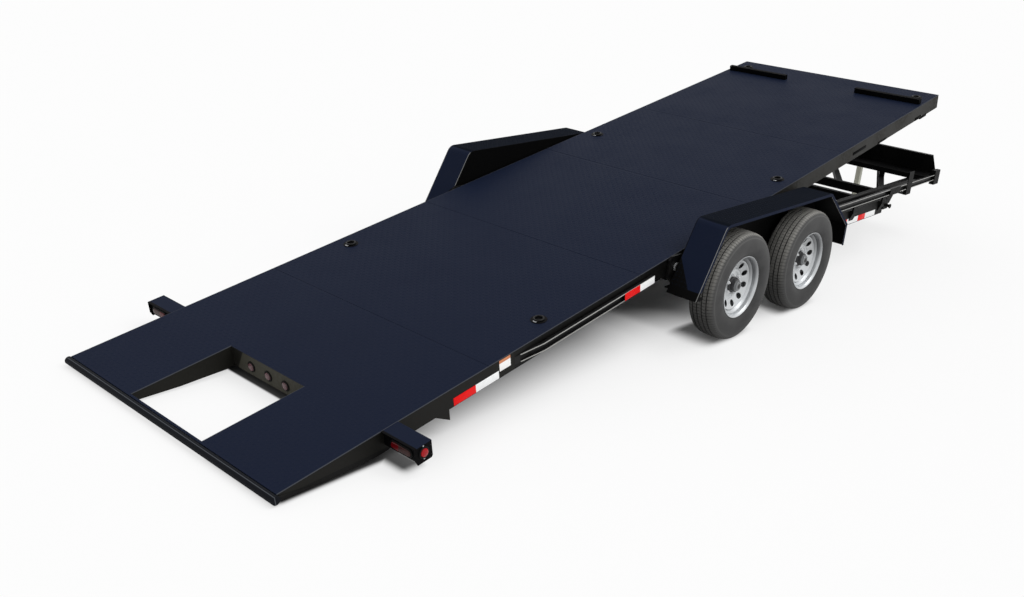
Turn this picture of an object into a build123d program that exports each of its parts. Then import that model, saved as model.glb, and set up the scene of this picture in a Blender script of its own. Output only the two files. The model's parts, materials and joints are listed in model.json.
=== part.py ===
from build123d import *
import os
from math import asin, atan2, cos, degrees, hypot, radians, sin, tan

# Tandem-axle tilt car trailer, its deck tipped back so that the tail is at the ground, in millimetres.
# X points forward to the coupler, Y to the left and Z up, from the middle of the trailer on the ground.
# Lengths along X are given from the middle of the tandem axles, and on the deck from its rear edge.

# Wheels and tyres
tyre_radius = 387
tyre_width = 218
tyre_reach = 295
tread_width = 176
bead_radius = 206
axle_spacing = 961
rim_flange_radius = 221
rim_width = 180
rim_wall = 6
disc_offset = 12
hub_radius = 62
cap_radius = 40
hand_hole_count = 10
hand_hole_radius = 16
hand_hole_circle = 140
drum_radius = 150
drum_width = 74
spindle_radius = 25
running_clearance = 0.05

# Deck
deck_length = 7425
deck_width = 2014
deck_plate_gauge = 5
deck_seams = [1466, 2877, 4270, 5600]
tail_edge_z = 59.14
seam_gap = 2
deck_depth = 120
deck_flange = 50
deck_wall = 6
tail_length = 1144
tail_depth = 134
tail_tab_length = 104
tail_tab_depth = 189
rear_bar_radius = 24
rear_bar_overhang = 13
plate_edge = 15
notch_width = 700
notch_length = 654
notch_strip = 30
outer_rib_inset = 317
cross_bottom = 76
cross_width = 50
cross_wall = 6
cross_first = 730
cross_count = 12
cross_to_rod = 7
stop_bar_size = 45
stop_bar_from_front = 340
stop_bar_inset = 26
stop_bar_length = 621
ring_inset = 130
ring_rear = 2035
ring_ahead_of_pivot = 1558
ring_from_front = 190
ring_pan_radius = 52
ring_pan_gauge = 3
ring_radius = 30
ring_wire = 6

# Pivot between the deck and the chassis
pivot_x = -950
pivot_z = 560
pivot_depth = 79
pivot_share = 0.43623
pin_radius = 19
side_gap = 7
bearing_gauge = 16
bearing_front = -870
bearing_rear = -1030
bearing_top = 640
boss_radius = 38
boss_length = 30

# Chassis
beam_inset = 7
beam_width = 50
beam_bottom = 385
beam_top = 512
beam_wall = 8
beam_rear = -930
bend_from_front = 1100
tongue_length = 1015
tongue_half = 58
rail_inset = 152
rail_width = 50
rail_height = 42
rail_wall = 5
cross_after_pivot = 50
cross_ahead_of_axles = 660
cross_before_bend = 120
cross_after_bend = 300
sill_brace_width = 50
sill_gap = 34
sill_length = 230
sill_top = 600
bulkhead_top = 775
bulkhead_reach = 3
bulkhead_taper = 55
bulkhead_gauge = 6
bulkhead_flange = 45
rub_rail_reach = 33
rub_rail_depth = 25
rub_rail_height = 50
rub_rail_wall = 4
rub_rail_bottom = 557
rub_rail_rear = 950
rub_rail_from_front = 95
bracket_first = 250
bracket_before_bend = 60
bracket_count = 3
bracket_length = 80
post_from_front = 685
post_length = 100
post_bottom = 505
post_top = 718

# Coupler and jack
ball_radius = 29.4
ball_from_tongue = 235
ball_z = 430
socket_wall = 19
coupler_top = 495
jack_from_tongue = 415
jack_size = 64
jack_leg_size = 50
jack_play = 0.3
jack_bottom = 400
jack_top = 1010
jack_foot = 150

# Fenders
fender_gap = 53
fender_reach = 288
fender_over_tyre = 115
fender_rear_gap = 209
fender_front_gap = 167
fender_rear_slope = 270
fender_front_slope = 367
fender_knee = 203
fender_corner = 75
fender_foot_z = 415
fender_gauge = 4
fender_lip = 22
fender_skirt_z = 455
stay_width = 60

# Tilt cylinder
cylinder_x = -220
cylinder_z = 300
barrel_radius = 32
barrel_length = 540
barrel_start = 64
rod_radius = 16
rod_eye_from_pivot = 1330
rod_eye_depth = 139
eye_radius = 26
eye_width = 36
eye_gap = 3
lug_gauge = 12
lug_pin_radius = 12

# Tail lamps and rear rub rails on the deck
bracket_rear = 665
bracket_front = 783
bracket_depth = 104
bracket_reach = 253
lamp_radius = 32
lamp_height = 14
tail_lamp_reach = 138
wall_lamp_pitch = 164
rear_rail_start = 1674
rear_rail_bend = 1900
rear_rail_to_pivot = 249
rear_rail_drop = 42

os.makedirs("parts", exist_ok=True)

# Widths follow the deck's sides, lengths on the chassis its pivot and where its front lies when level
deck_half = deck_width / 2
beam_y = deck_half - beam_inset
rail_y = deck_half - rail_inset
rub_rail_y = deck_half + rub_rail_reach
tyre_outer_y = deck_half + tyre_reach
pivot_from_tail = deck_length * pivot_share
front_x = pivot_x + deck_length - pivot_from_tail + sill_gap + sill_length
bend_x = front_x - bend_from_front
tongue_front = front_x + tongue_length
ball_x = tongue_front + ball_from_tongue
bend = degrees(atan2(beam_y - tongue_half, tongue_front - bend_x))

# The deck tips until its rear edge is at its height over the ground
pivot_reach = Vector(pivot_from_tail, pivot_depth).length
tilt = degrees(atan2(pivot_depth, pivot_from_tail) + asin((pivot_z - tail_edge_z) / pivot_reach))
deck_x = Vector(cos(radians(tilt)), 0, sin(radians(tilt)))
deck_z = Vector(-sin(radians(tilt)), 0, cos(radians(tilt)))
deck_edge = Vector(pivot_x, 0, pivot_z) - deck_x * pivot_from_tail + deck_z * pivot_depth
rear_end = (deck_edge - deck_z * rear_bar_radius).X - rear_bar_radius
front_end = ball_x + ball_radius + socket_wall
tandem_x = -(rear_end + front_end) / 2

ground = Plane(origin=(tandem_x, 0, 0))
deck = Plane(origin=deck_edge + Vector(tandem_x, 0, 0), x_dir=deck_x, z_dir=deck_z)


def side(base, y):
    """A plane for outlines seen from the trailer's right, at y; positive is outward to the right."""
    return Plane(base.from_local_coords(Vector(0, y, 0)), x_dir=base.x_dir, z_dir=-base.y_dir)


def across(base, x):
    """A plane for sections seen from behind, at x; positive is forward."""
    return Plane(base.from_local_coords(Vector(x, 0, 0)), x_dir=base.y_dir, z_dir=base.x_dir)


def channel(width, height, wall, opens):
    """Draws a channel section about its middle, open towards plus or minus x."""
    Rectangle(width, height)
    with Locations((opens * wall, 0)):
        Rectangle(width, height - 2 * wall, mode=Mode.SUBTRACT)


def box(x0, x1, y0, y1, mode=Mode.ADD):
    """Draws a rectangle between two corners."""
    with Locations(((x0 + x1) / 2, (y0 + y1) / 2)):
        Rectangle(abs(x1 - x0), abs(y1 - y0), mode=mode)


def write(piece, name):
    piece.part.label = name
    export_step(piece.part, f"parts/{name}.step")


def write_left(right, name):
    """Writes the left-hand twin of a right-hand piece."""
    with BuildPart() as left:
        mirror(right.part, about=Plane.XZ)
    write(left, name)


# Wheels: each is a tyre on a pressed steel wheel, bolted to a hub with its brake drum
tyre_mid_y = tyre_outer_y - tyre_width / 2
disc_face_y = tyre_mid_y + disc_offset
sidewall = tyre_radius - rim_flange_radius
rim_outer_y = tyre_mid_y + rim_width / 2
# Half of the tyre's section: radius, distance from the tyre's middle
tyre_half_section = [
    (bead_radius + 0.3, rim_width / 2 - 14),
    (rim_flange_radius + 2, rim_width / 2 - 14),
    (rim_flange_radius + 8, rim_width / 2 - 3),
    (rim_flange_radius + 0.25 * sidewall, tyre_width / 2 - 3),
    (rim_flange_radius + 0.49 * sidewall, tyre_width / 2),
    (rim_flange_radius + 0.75 * sidewall, tyre_width / 2 - 5),
    (rim_flange_radius + 0.93 * sidewall, tyre_width / 2 - 14),
    (tyre_radius, tread_width / 2),
]
tyre_half_cavity = [
    (bead_radius, rim_width / 2 - 34),
    (rim_flange_radius + 0.12 * sidewall, rim_width / 2 - 26),
    (rim_flange_radius + 0.25 * sidewall, tyre_width / 2 - 18),
    (rim_flange_radius + 0.64 * sidewall, tyre_width / 2 - 18),
    (rim_flange_radius + 0.86 * sidewall, tread_width / 2 - 8),
]
# The rim's outer surface: radius, distance in from the outer flange
rim_line = [
    (rim_flange_radius, 0),
    (rim_flange_radius, 6),
    (bead_radius, 11),
    (bead_radius, 40),
    (bead_radius - 20, 56),
    (bead_radius - 20, 98),
    (bead_radius, 118),
    (bead_radius, rim_width - 11),
    (rim_flange_radius, rim_width - 6),
    (rim_flange_radius, rim_width),
]
# The disc's outer face: radius, distance out from the face that the nuts clamp
disc_line = [
    (hub_radius + 0.3, 0),
    (108, 0),
    (120, 6),
    (150, 20),
    (bead_radius - 20 - rim_wall + 1, 24),
]
# The hub, its drum and its grease cap: radius, distance out from the same face
hub_section = [
    (spindle_radius + running_clearance, -rim_wall - drum_width + 10),
    (hub_radius - 12, -rim_wall - drum_width + 10),
    (hub_radius - 12, -rim_wall - 8),
    (drum_radius - 8, -rim_wall - 8),
    (drum_radius - 8, -rim_wall - drum_width),
    (drum_radius, -rim_wall - drum_width),
    (drum_radius, -rim_wall),
    (hub_radius, -rim_wall),
    (hub_radius, 14),
    (hub_radius - 8, 22),
    (cap_radius, 24),
    (cap_radius, 52),
    (cap_radius - 8, 60),
    (0, 60),
    (0, 40),
    (spindle_radius + running_clearance, 40),
]
wheels = [  # name, x of the axle, side of the trailer
    ("front_right", axle_spacing / 2, -1),
    ("front_left", axle_spacing / 2, 1),
    ("rear_right", -axle_spacing / 2, -1),
    ("rear_left", -axle_spacing / 2, 1),
]
for corner, axle_x, hand in wheels:
    # Sections have the radius along x and the distance from the trailer's middle along y
    middle = ground.from_local_coords(Vector(axle_x, 0, tyre_radius))
    wheel = Plane(middle, x_dir=(1, 0, 0), z_dir=(0, 0, hand))
    spin = Axis(middle, (0, 1, 0))

    with BuildPart() as tyre:
        with BuildSketch(wheel):
            for half, mode in ((tyre_half_section, Mode.ADD), (tyre_half_cavity, Mode.SUBTRACT)):
                inner_half = [(r, tyre_mid_y - w) for r, w in half]
                outer_half = [(r, tyre_mid_y + w) for r, w in reversed(half)]
                Polygon(*inner_half, *outer_half, align=None, mode=mode)
        revolve(axis=spin)
    write(tyre, f"tyre_{corner}")

    with BuildPart() as rim:
        with BuildSketch(wheel):
            surface = [(r, rim_outer_y - w) for r, w in rim_line]
            lining = [(r - rim_wall, y) for r, y in reversed(surface)]
            Polygon(*surface, *lining, align=None)
            face = [(r, disc_face_y + w) for r, w in disc_line]
            back = [(r, y - rim_wall) for r, y in reversed(face)]
            Polygon(*face, *back, align=None)
        revolve(axis=spin)
        with BuildSketch(side(ground, hand * rim_outer_y)):
            with Locations((axle_x, tyre_radius)):
                with PolarLocations(hand_hole_circle, hand_hole_count):
                    Circle(hand_hole_radius)
        extrude(amount=rim_width / 2, dir=(0, -hand, 0), mode=Mode.SUBTRACT)
    write(rim, f"rim_{corner}")

    with BuildPart() as hub:
        with BuildSketch(wheel):
            Polygon(*[(r, disc_face_y + w) for r, w in hub_section], align=None)
        revolve(axis=spin)
    write(hub, f"hub_{corner}")

# Torsion axles: a square tube under the beams, with trailing arms that carry the spindles
axle_tube = 76
axle_seat = 4
arm_reach = 140
arm_gauge = 35
arm_height = 70
arm_gap = 8
axle_tube_z = beam_bottom - axle_seat - axle_tube / 2
arm_drop = tyre_radius - axle_tube_z
arm_y = beam_y + arm_gap
arm_length = hypot(arm_reach, arm_drop)
arm_turn = -degrees(atan2(arm_drop, arm_reach))
backing_y = disc_face_y - rim_wall - drum_width - 12
for name, axle_x in (("axle_front", axle_spacing / 2), ("axle_rear", -axle_spacing / 2)):
    with BuildPart() as axle:
        with BuildSketch(side(ground, 0)):
            with Locations((axle_x + arm_reach, axle_tube_z)):
                Rectangle(axle_tube, axle_tube)
        extrude(amount=arm_y, both=True)
        with BuildSketch(ground.offset(beam_bottom - axle_seat)):
            for y in (beam_width / 2 - beam_y, beam_y - beam_width / 2):
                with Locations((axle_x + arm_reach, y)):
                    Rectangle(2 * axle_tube, beam_width)
        extrude(amount=axle_seat)
        for hand in (-1, 1):
            with BuildSketch(side(ground, hand * arm_y)):
                with Locations(Location((axle_x + arm_reach / 2, axle_tube_z + arm_drop / 2))):
                    SlotCenterToCenter(arm_length, arm_height, rotation=arm_turn)
            extrude(amount=arm_gauge, dir=(0, hand, 0))
            with BuildSketch(side(ground, hand * (arm_y + arm_gauge))):
                with Locations((axle_x, tyre_radius)):
                    Circle(spindle_radius)
            extrude(amount=disc_face_y + 30 - arm_y - arm_gauge, dir=(0, hand, 0))
            with BuildSketch(side(ground, hand * backing_y)):
                with Locations((axle_x, tyre_radius)):
                    Circle(drum_radius + 5)
            extrude(amount=6, dir=(0, hand, 0))
    write(axle, name)


# Side beams: channels open inward that bend together ahead of the deck to form the tongue
def beam_line(inset):
    """Plan of a line along the right-hand beam, an inset in from its outer face."""
    straight_y = inset - beam_y
    turn = bend_x - inset * tan(radians(bend / 2))
    front_y = inset / cos(radians(bend)) - beam_y + (tongue_front - bend_x) * tan(radians(bend))
    return [(beam_rear, straight_y), (turn, straight_y), (tongue_front, front_y)]


def tongue_inner_y(x):
    """Distance of a tongue beam's inner side from the trailer's middle, at x."""
    return beam_y - beam_width / cos(radians(bend)) - (x - bend_x) * tan(radians(bend))


def tongue_outer_y(x):
    """Distance of a tongue beam's outer side from the trailer's middle, at x."""
    return beam_y - (x - bend_x) * tan(radians(bend))


with BuildPart() as beam:
    with BuildSketch(ground.offset(beam_bottom)):
        Polygon(*beam_line(0), *reversed(beam_line(beam_width)), align=None)
    extrude(amount=beam_top - beam_bottom)
    with BuildSketch(ground.offset(beam_bottom + beam_wall)):
        Polygon(*beam_line(beam_wall), *reversed(beam_line(beam_width + 1)), align=None)
    extrude(amount=beam_top - beam_bottom - 2 * beam_wall, mode=Mode.SUBTRACT)
write(beam, "side_beam_right")
write_left(beam, "side_beam_left")

rail_top = beam_top + rail_height
with BuildPart() as rails:
    with BuildSketch(across(ground, beam_rear)):
        with Locations((-rail_y, beam_top + rail_height / 2), (rail_y, beam_top + rail_height / 2)):
            Rectangle(rail_width, rail_height)
            Rectangle(rail_width - 2 * rail_wall, rail_height - 2 * rail_wall, mode=Mode.SUBTRACT)
    extrude(amount=front_x - bulkhead_gauge - beam_rear)
write(rails, "inner_rails")

# Crossmembers between the beams, flush with their tops, and braces from the tongue's one to the sill
cross_depth = 76
last_cross_x = bend_x - cross_before_bend
middle_cross_x = (cross_ahead_of_axles + last_cross_x) / 2
chassis_cross_x = [
    pivot_x + cross_after_pivot,
    cylinder_x,
    cross_ahead_of_axles,
    middle_cross_x,
    last_cross_x,
]
tongue_cross_x = bend_x + cross_after_bend
brace_depth = 50
brace_front = front_x - sill_length + sill_brace_width
brace_outline = [
    (tongue_cross_x, 395),
    (brace_front, 38),
    (brace_front, 94),
    (tongue_cross_x, 457),
]
with BuildPart() as crossmembers:
    cross_mid_z = beam_top - cross_depth / 2
    for x in chassis_cross_x:
        with BuildSketch(side(ground, 0)):
            with Locations((x, cross_mid_z)):
                channel(cross_width, cross_depth, cross_wall, 1)
        extrude(amount=beam_y - beam_width, both=True)
    rear = tongue_cross_x - cross_width / 2
    front = tongue_cross_x + cross_width / 2
    with BuildSketch(ground.offset(beam_top - cross_depth)):
        Polygon(
            (rear, -tongue_inner_y(rear)),
            (front, -tongue_inner_y(front)),
            (front, tongue_inner_y(front)),
            (rear, tongue_inner_y(rear)),
            align=None,
        )
    extrude(amount=cross_depth)
    with BuildSketch(side(ground, 0)):
        with Locations((tongue_cross_x + cross_wall, cross_mid_z)):
            Rectangle(cross_width, cross_depth - 2 * cross_wall)
    extrude(amount=beam_y, both=True, mode=Mode.SUBTRACT)
    with BuildSketch(ground.offset(beam_top - brace_depth)):
        Polygon(*brace_outline, align=None)
        mirror(about=Plane.XZ)
    extrude(amount=brace_depth)
    with BuildSketch(ground.offset(beam_top)):
        for hand in (-1, 1):
            box(brace_front - sill_brace_width, brace_front, hand * 38, hand * 94)
    extrude(amount=rail_height)
write(crossmembers, "chassis_crossmembers")

# Front sill on the rails, with the bulkhead on it
sill_rear = front_x - sill_length
sill_front = front_x - bulkhead_gauge
sill_wall = 6
with BuildPart() as sill:
    with BuildSketch(side(ground, 0)):
        box(sill_rear, sill_front, rail_top, sill_top)
        box(sill_rear + sill_wall, sill_front - sill_wall, rail_top - 1, sill_top - sill_wall, Mode.SUBTRACT)
    extrude(amount=beam_y, both=True)
    # A seat on each of the tongue's beams
    with BuildSketch(ground.offset(beam_top)):
        for hand in (-1, 1):
            Polygon(
                (sill_rear, -hand * tongue_inner_y(sill_rear)),
                (sill_rear, -hand * tongue_outer_y(sill_rear)),
                (sill_front, -hand * tongue_outer_y(sill_front)),
                (sill_front, -hand * tongue_inner_y(sill_front)),
                align=None,
            )
    extrude(amount=rail_height)
write(sill, "front_sill")

bulkhead_y = deck_half + bulkhead_reach
bulkhead_top_y = bulkhead_y - bulkhead_taper
with BuildPart() as bulkhead:
    bulkhead_outline = [
        (-bulkhead_y, rail_top),
        (bulkhead_y, rail_top),
        (bulkhead_y, sill_top + 15),
        (bulkhead_top_y, bulkhead_top),
        (-bulkhead_top_y, bulkhead_top),
        (-bulkhead_y, sill_top + 15),
    ]
    with BuildSketch(across(ground, front_x - bulkhead_gauge)):
        Polygon(*bulkhead_outline, align=None)
    extrude(amount=bulkhead_gauge)
    with BuildSketch(across(ground, front_x - bulkhead_flange)):
        box(-bulkhead_top_y, bulkhead_top_y, bulkhead_top - bulkhead_gauge, bulkhead_top)
    extrude(amount=bulkhead_flange)
write(bulkhead, "bulkhead")

# Coupler on the tongue's end, and the jack on a plate across the tongue
coupler_plate = 12
coupler_wall = 8
coupler_bottom = beam_bottom + 15
coupler_height = coupler_top - coupler_bottom
with BuildPart() as coupler:
    socket_radius = ball_radius + socket_wall
    neck_y = tongue_outer_y(tongue_front) + 4
    with BuildSketch(across(ground, tongue_front)):
        box(-neck_y, neck_y, beam_bottom, beam_top)
    extrude(amount=coupler_plate)
    neck = [
        (tongue_front + coupler_plate, -neck_y),
        (ball_x, -socket_radius),
        (ball_x, socket_radius),
        (tongue_front + coupler_plate, neck_y),
    ]
    with BuildSketch(ground.offset(coupler_bottom)):
        Polygon(*neck, align=None)
    extrude(amount=coupler_height)
    with BuildSketch(ground.offset(coupler_bottom)):
        Polygon(*neck, align=None)
        offset(amount=-coupler_wall, kind=Kind.INTERSECTION, mode=Mode.REPLACE)
    extrude(amount=coupler_height - coupler_wall, mode=Mode.SUBTRACT)
    with BuildSketch(ground.offset(coupler_bottom)):
        with Locations((ball_x, 0)):
            Circle(socket_radius)
    extrude(amount=coupler_height)
    with Locations(ground.location * Location((ball_x, 0, ball_z))):
        Sphere(ball_radius, mode=Mode.SUBTRACT)
    with BuildSketch(ground.offset(beam_bottom)):
        with Locations((ball_x, 0)):
            Circle(ball_radius)
    extrude(amount=ball_z - beam_bottom, mode=Mode.SUBTRACT)
write(coupler, "coupler")

jack_x = tongue_front - jack_from_tongue
jack_plate_gauge = 10
jack_plate_length = 140
jack_flange = 110
jack_head = 30
with BuildPart() as jack_plate:
    rear = jack_x - jack_plate_length / 2
    front = jack_x + jack_plate_length / 2
    with BuildSketch(ground.offset(beam_top)):
        Polygon(
            (rear, -tongue_outer_y(rear)),
            (front, -tongue_outer_y(front)),
            (front, tongue_outer_y(front)),
            (rear, tongue_outer_y(rear)),
            align=None,
        )
        with Locations((jack_x, 0)):
            Rectangle(jack_size, jack_size, mode=Mode.SUBTRACT)
    extrude(amount=jack_plate_gauge)
write(jack_plate, "jack_plate")

with BuildPart() as jack_body:
    with BuildSketch(ground.offset(jack_bottom)):
        with Locations((jack_x, 0)):
            Rectangle(jack_size, jack_size)
            Rectangle(jack_leg_size + 2 * jack_play, jack_leg_size + 2 * jack_play, mode=Mode.SUBTRACT)
    extrude(amount=jack_top - jack_head - jack_bottom)
    with BuildSketch(ground.offset(jack_top - jack_head)):
        with Locations((jack_x, 0)):
            RectangleRounded(jack_size + 6, jack_size + 6, 6)
    extrude(amount=jack_head)
    with BuildSketch(ground.offset(beam_top + jack_plate_gauge)):
        with Locations((jack_x, 0)):
            RectangleRounded(jack_flange, jack_flange, 8)
            Rectangle(jack_size - 2, jack_size - 2, mode=Mode.SUBTRACT)
    extrude(amount=8)
write(jack_body, "jack_body")

crank_y = -jack_size / 2 - 3
crank_z = jack_top - jack_head / 2
crank_shaft = 45
crank_arm = 130
crank_gauge = 8
with BuildPart() as jack_crank:
    with BuildSketch(side(ground, crank_y)):
        with Locations((jack_x, crank_z)):
            Circle(9)
    extrude(amount=crank_shaft)
    with BuildSketch(side(ground, crank_y - crank_shaft)):
        with Locations((jack_x + crank_arm / 2, crank_z)):
            SlotCenterToCenter(crank_arm, 22)
    extrude(amount=crank_gauge)
    with BuildSketch(side(ground, crank_y - crank_shaft - crank_gauge)):
        with Locations((jack_x + crank_arm, crank_z)):
            Circle(11)
    extrude(amount=85)
write(jack_crank, "jack_crank")

with BuildPart() as jack_leg:
    with BuildSketch(ground.offset(8)):
        with Locations((jack_x, 0)):
            Rectangle(jack_leg_size, jack_leg_size)
    extrude(amount=jack_top - 250)
    with BuildSketch(ground):
        with Locations((jack_x, 0)):
            RectangleRounded(jack_foot, jack_foot, 15)
    extrude(amount=8)
write(jack_leg, "jack_leg")

# Fenders: treadplate boxes over each pair of wheels, with a lip outside and a skirt inside
fender_inner_y = deck_half + fender_gap
fender_outer_y = deck_half + fender_reach
fender_width = fender_outer_y - fender_inner_y
fender_top = 2 * tyre_radius + fender_over_tyre
fender_foot_rear = -axle_spacing / 2 - tyre_radius - fender_rear_gap
fender_foot_front = axle_spacing / 2 + tyre_radius + fender_front_gap
hoop = [
    (fender_foot_rear, fender_foot_z),
    (fender_foot_rear + fender_rear_slope, fender_top),
    (fender_foot_front - fender_front_slope, fender_top),
    (fender_foot_front, tyre_radius + fender_knee),
    (fender_foot_front, fender_foot_z),
]
mouth_rear = fender_foot_rear + 80
mouth_front = fender_foot_front - fender_lip
with BuildPart() as fender:
    with BuildSketch(side(ground, -fender_inner_y)) as hoop_sheet:
        Polygon(*hoop, align=None)
        fillet(hoop_sheet.vertices().sort_by(Axis.Y)[-2:], fender_corner)
    extrude(amount=fender_width)
    with BuildSketch(side(ground, -fender_inner_y - fender_gauge)) as hoop_inside:
        Polygon(*hoop, align=None)
        fillet(hoop_inside.vertices().sort_by(Axis.Y)[-2:], fender_corner)
        offset(amount=-fender_gauge, kind=Kind.INTERSECTION, mode=Mode.REPLACE)
        box(fender_foot_rear + 40, fender_foot_front - fender_gauge, fender_foot_z - 20, fender_foot_z + 20)
    extrude(amount=fender_width - 2 * fender_gauge, mode=Mode.SUBTRACT)
    with BuildSketch(side(ground, -fender_outer_y + fender_gauge)) as hoop_mouth:
        Polygon(*hoop, align=None)
        fillet(hoop_mouth.vertices().sort_by(Axis.Y)[-2:], fender_corner)
        offset(amount=-fender_lip, kind=Kind.INTERSECTION, mode=Mode.REPLACE)
        box(mouth_rear, mouth_front, fender_foot_z - 20, fender_foot_z + 60)
    extrude(amount=fender_gauge, mode=Mode.SUBTRACT)
    with BuildSketch(side(ground, -fender_inner_y)):
        box(mouth_rear, mouth_front, fender_foot_z - 20, fender_skirt_z)
    extrude(amount=fender_gauge, mode=Mode.SUBTRACT)
write(fender, "fender_right")
write_left(fender, "fender_left")

stay_rear_x = fender_foot_rear + 347
stay_front_x = fender_foot_front - 255
with BuildPart() as fender_stays:
    for x in (stay_rear_x, (stay_rear_x + stay_front_x) / 2, stay_front_x):
        with BuildSketch(side(ground, -beam_y)):
            box(x - stay_width / 2, x + stay_width / 2, fender_skirt_z, beam_top)
        extrude(amount=fender_inner_y - beam_y)
    mirror(about=Plane.XZ)
write(fender_stays, "fender_stays")

# Front rub rails, their brackets, and guide posts beside the level deck's front
stand_off_y = deck_half + side_gap
rub_rail_inner_y = rub_rail_y - rub_rail_depth
rub_rail_front = front_x - rub_rail_from_front
with BuildPart() as front_rub_rails:
    with BuildSketch(across(ground, rub_rail_rear)):
        with Locations((-rub_rail_y + rub_rail_depth / 2, rub_rail_bottom + rub_rail_height / 2)):
            channel(rub_rail_depth, rub_rail_height, rub_rail_wall, -1)
    extrude(amount=rub_rail_front - rub_rail_rear)
    mirror(about=Plane.XZ)
write(front_rub_rails, "front_rub_rails")

first_bracket_x = rub_rail_rear + bracket_first
bracket_pitch = (bend_x - bracket_before_bend - first_bracket_x) / (bracket_count - 1)
hook_x = bend_x + 30
hook_z = 455
hook_rear = bend_x - 15
hook_front = bend_x + 75
with BuildPart() as rail_brackets:
    for i in range(bracket_count):
        with BuildSketch(across(ground, first_bracket_x + i * bracket_pitch - bracket_length / 2)):
            Polygon(
                (-beam_y, beam_bottom + 30),
                (-rub_rail_y + 10, beam_top - 20),
                (-rub_rail_y + 10, rub_rail_bottom),
                (-stand_off_y, rub_rail_bottom),
                (-stand_off_y, beam_top),
                (-beam_y, beam_top),
                align=None,
            )
        extrude(amount=bracket_length)
    # Blocks at the rails' front ends, in two steps beside the sill and round the bulkhead's edge
    with BuildSketch(side(ground, -beam_y)):
        box(rub_rail_front, sill_front, beam_top, sill_top + 48)
    extrude(amount=bulkhead_y - beam_y)
    with BuildSketch(side(ground, -bulkhead_y)):
        box(rub_rail_front, front_x + 15, beam_top, sill_top + 48)
    extrude(amount=rub_rail_y + 6 - bulkhead_y)
    # Covers over the rails at the beams' bends, with a gusset down to each hook plate
    with BuildSketch(side(ground, -rub_rail_y)):
        box(bend_x + 5, bend_x + 215, rub_rail_bottom - 4, rub_rail_bottom + rub_rail_height + 4)
    extrude(amount=6)
    with BuildSketch(side(ground, -stand_off_y)):
        Polygon(
            (hook_rear, hook_z + 15),
            (hook_front, hook_z + 15),
            (hook_front + 80, rub_rail_bottom),
            (hook_rear + 50, rub_rail_bottom),
            align=None,
        )
    extrude(amount=8)
    # A plate across each beam's bend, with the stub that the straps hook on
    with BuildSketch(ground.offset(hook_z - 35)):
        Polygon(
            (hook_rear, -beam_y),
            (bend_x, -beam_y),
            (hook_front, -tongue_outer_y(hook_front)),
            (hook_front, -stand_off_y),
            (hook_rear, -stand_off_y),
            align=None,
        )
    extrude(amount=70)
    for start_y, radius, length in ((stand_off_y, 14, 36), (stand_off_y + 36, 20, 8)):
        with BuildSketch(side(ground, -start_y)):
            with Locations((hook_x, hook_z)):
                Circle(radius)
        extrude(amount=length)
    mirror(about=Plane.XZ)
write(rail_brackets, "rail_brackets")

post_rear = front_x - post_from_front - post_length / 2
post_front = post_rear + post_length
post_gauge = 6
with BuildPart() as guide_posts:
    with BuildSketch(side(ground, -stand_off_y)):
        box(post_rear, post_front, post_bottom, rub_rail_bottom)
    extrude(amount=rub_rail_y - stand_off_y)
    with BuildSketch(side(ground, -rub_rail_y)):
        box(post_rear, post_front, post_bottom, post_top)
    extrude(amount=post_gauge)
    with BuildSketch(side(ground, -rail_y)):
        box(post_rear, post_front, beam_top - post_gauge, beam_top)
    extrude(amount=stand_off_y - rail_y)
    mirror(about=Plane.XZ)
write(guide_posts, "guide_posts")

# Pivot: a bearing plate outside each deck side, spaced off the beam, and a pin into the deck's boss
with BuildPart() as bearings:
    with BuildSketch(side(ground, -stand_off_y)):
        Polygon(
            (bearing_rear, pivot_z - 55),
            (bearing_rear, bearing_top - 25),
            (bearing_rear + 25, bearing_top),
            (bearing_front - 25, bearing_top),
            (bearing_front, bearing_top - 25),
            (bearing_front, beam_bottom + 15),
            (beam_rear, beam_bottom + 15),
            align=None,
        )
        with Locations((pivot_x, pivot_z)):
            Circle(pin_radius, mode=Mode.SUBTRACT)
    extrude(amount=bearing_gauge)
    with BuildSketch(side(ground, -beam_y)):
        box(beam_rear, bearing_front, beam_bottom + 15, beam_top)
    extrude(amount=stand_off_y - beam_y)
    mirror(about=Plane.XZ)
write(bearings, "pivot_bearings")

boss_y = deck_half - boss_length
with BuildPart() as pivot_pins:
    with BuildSketch(side(ground, -boss_y)):
        with Locations((pivot_x, pivot_z)):
            Circle(pin_radius)
    extrude(amount=stand_off_y + bearing_gauge - boss_y)
    with BuildSketch(side(ground, -stand_off_y - bearing_gauge)):
        with Locations((pivot_x, pivot_z)):
            Circle(pin_radius + 9)
    extrude(amount=12)
    mirror(about=Plane.XZ)
write(pivot_pins, "pivot_pins")

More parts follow.
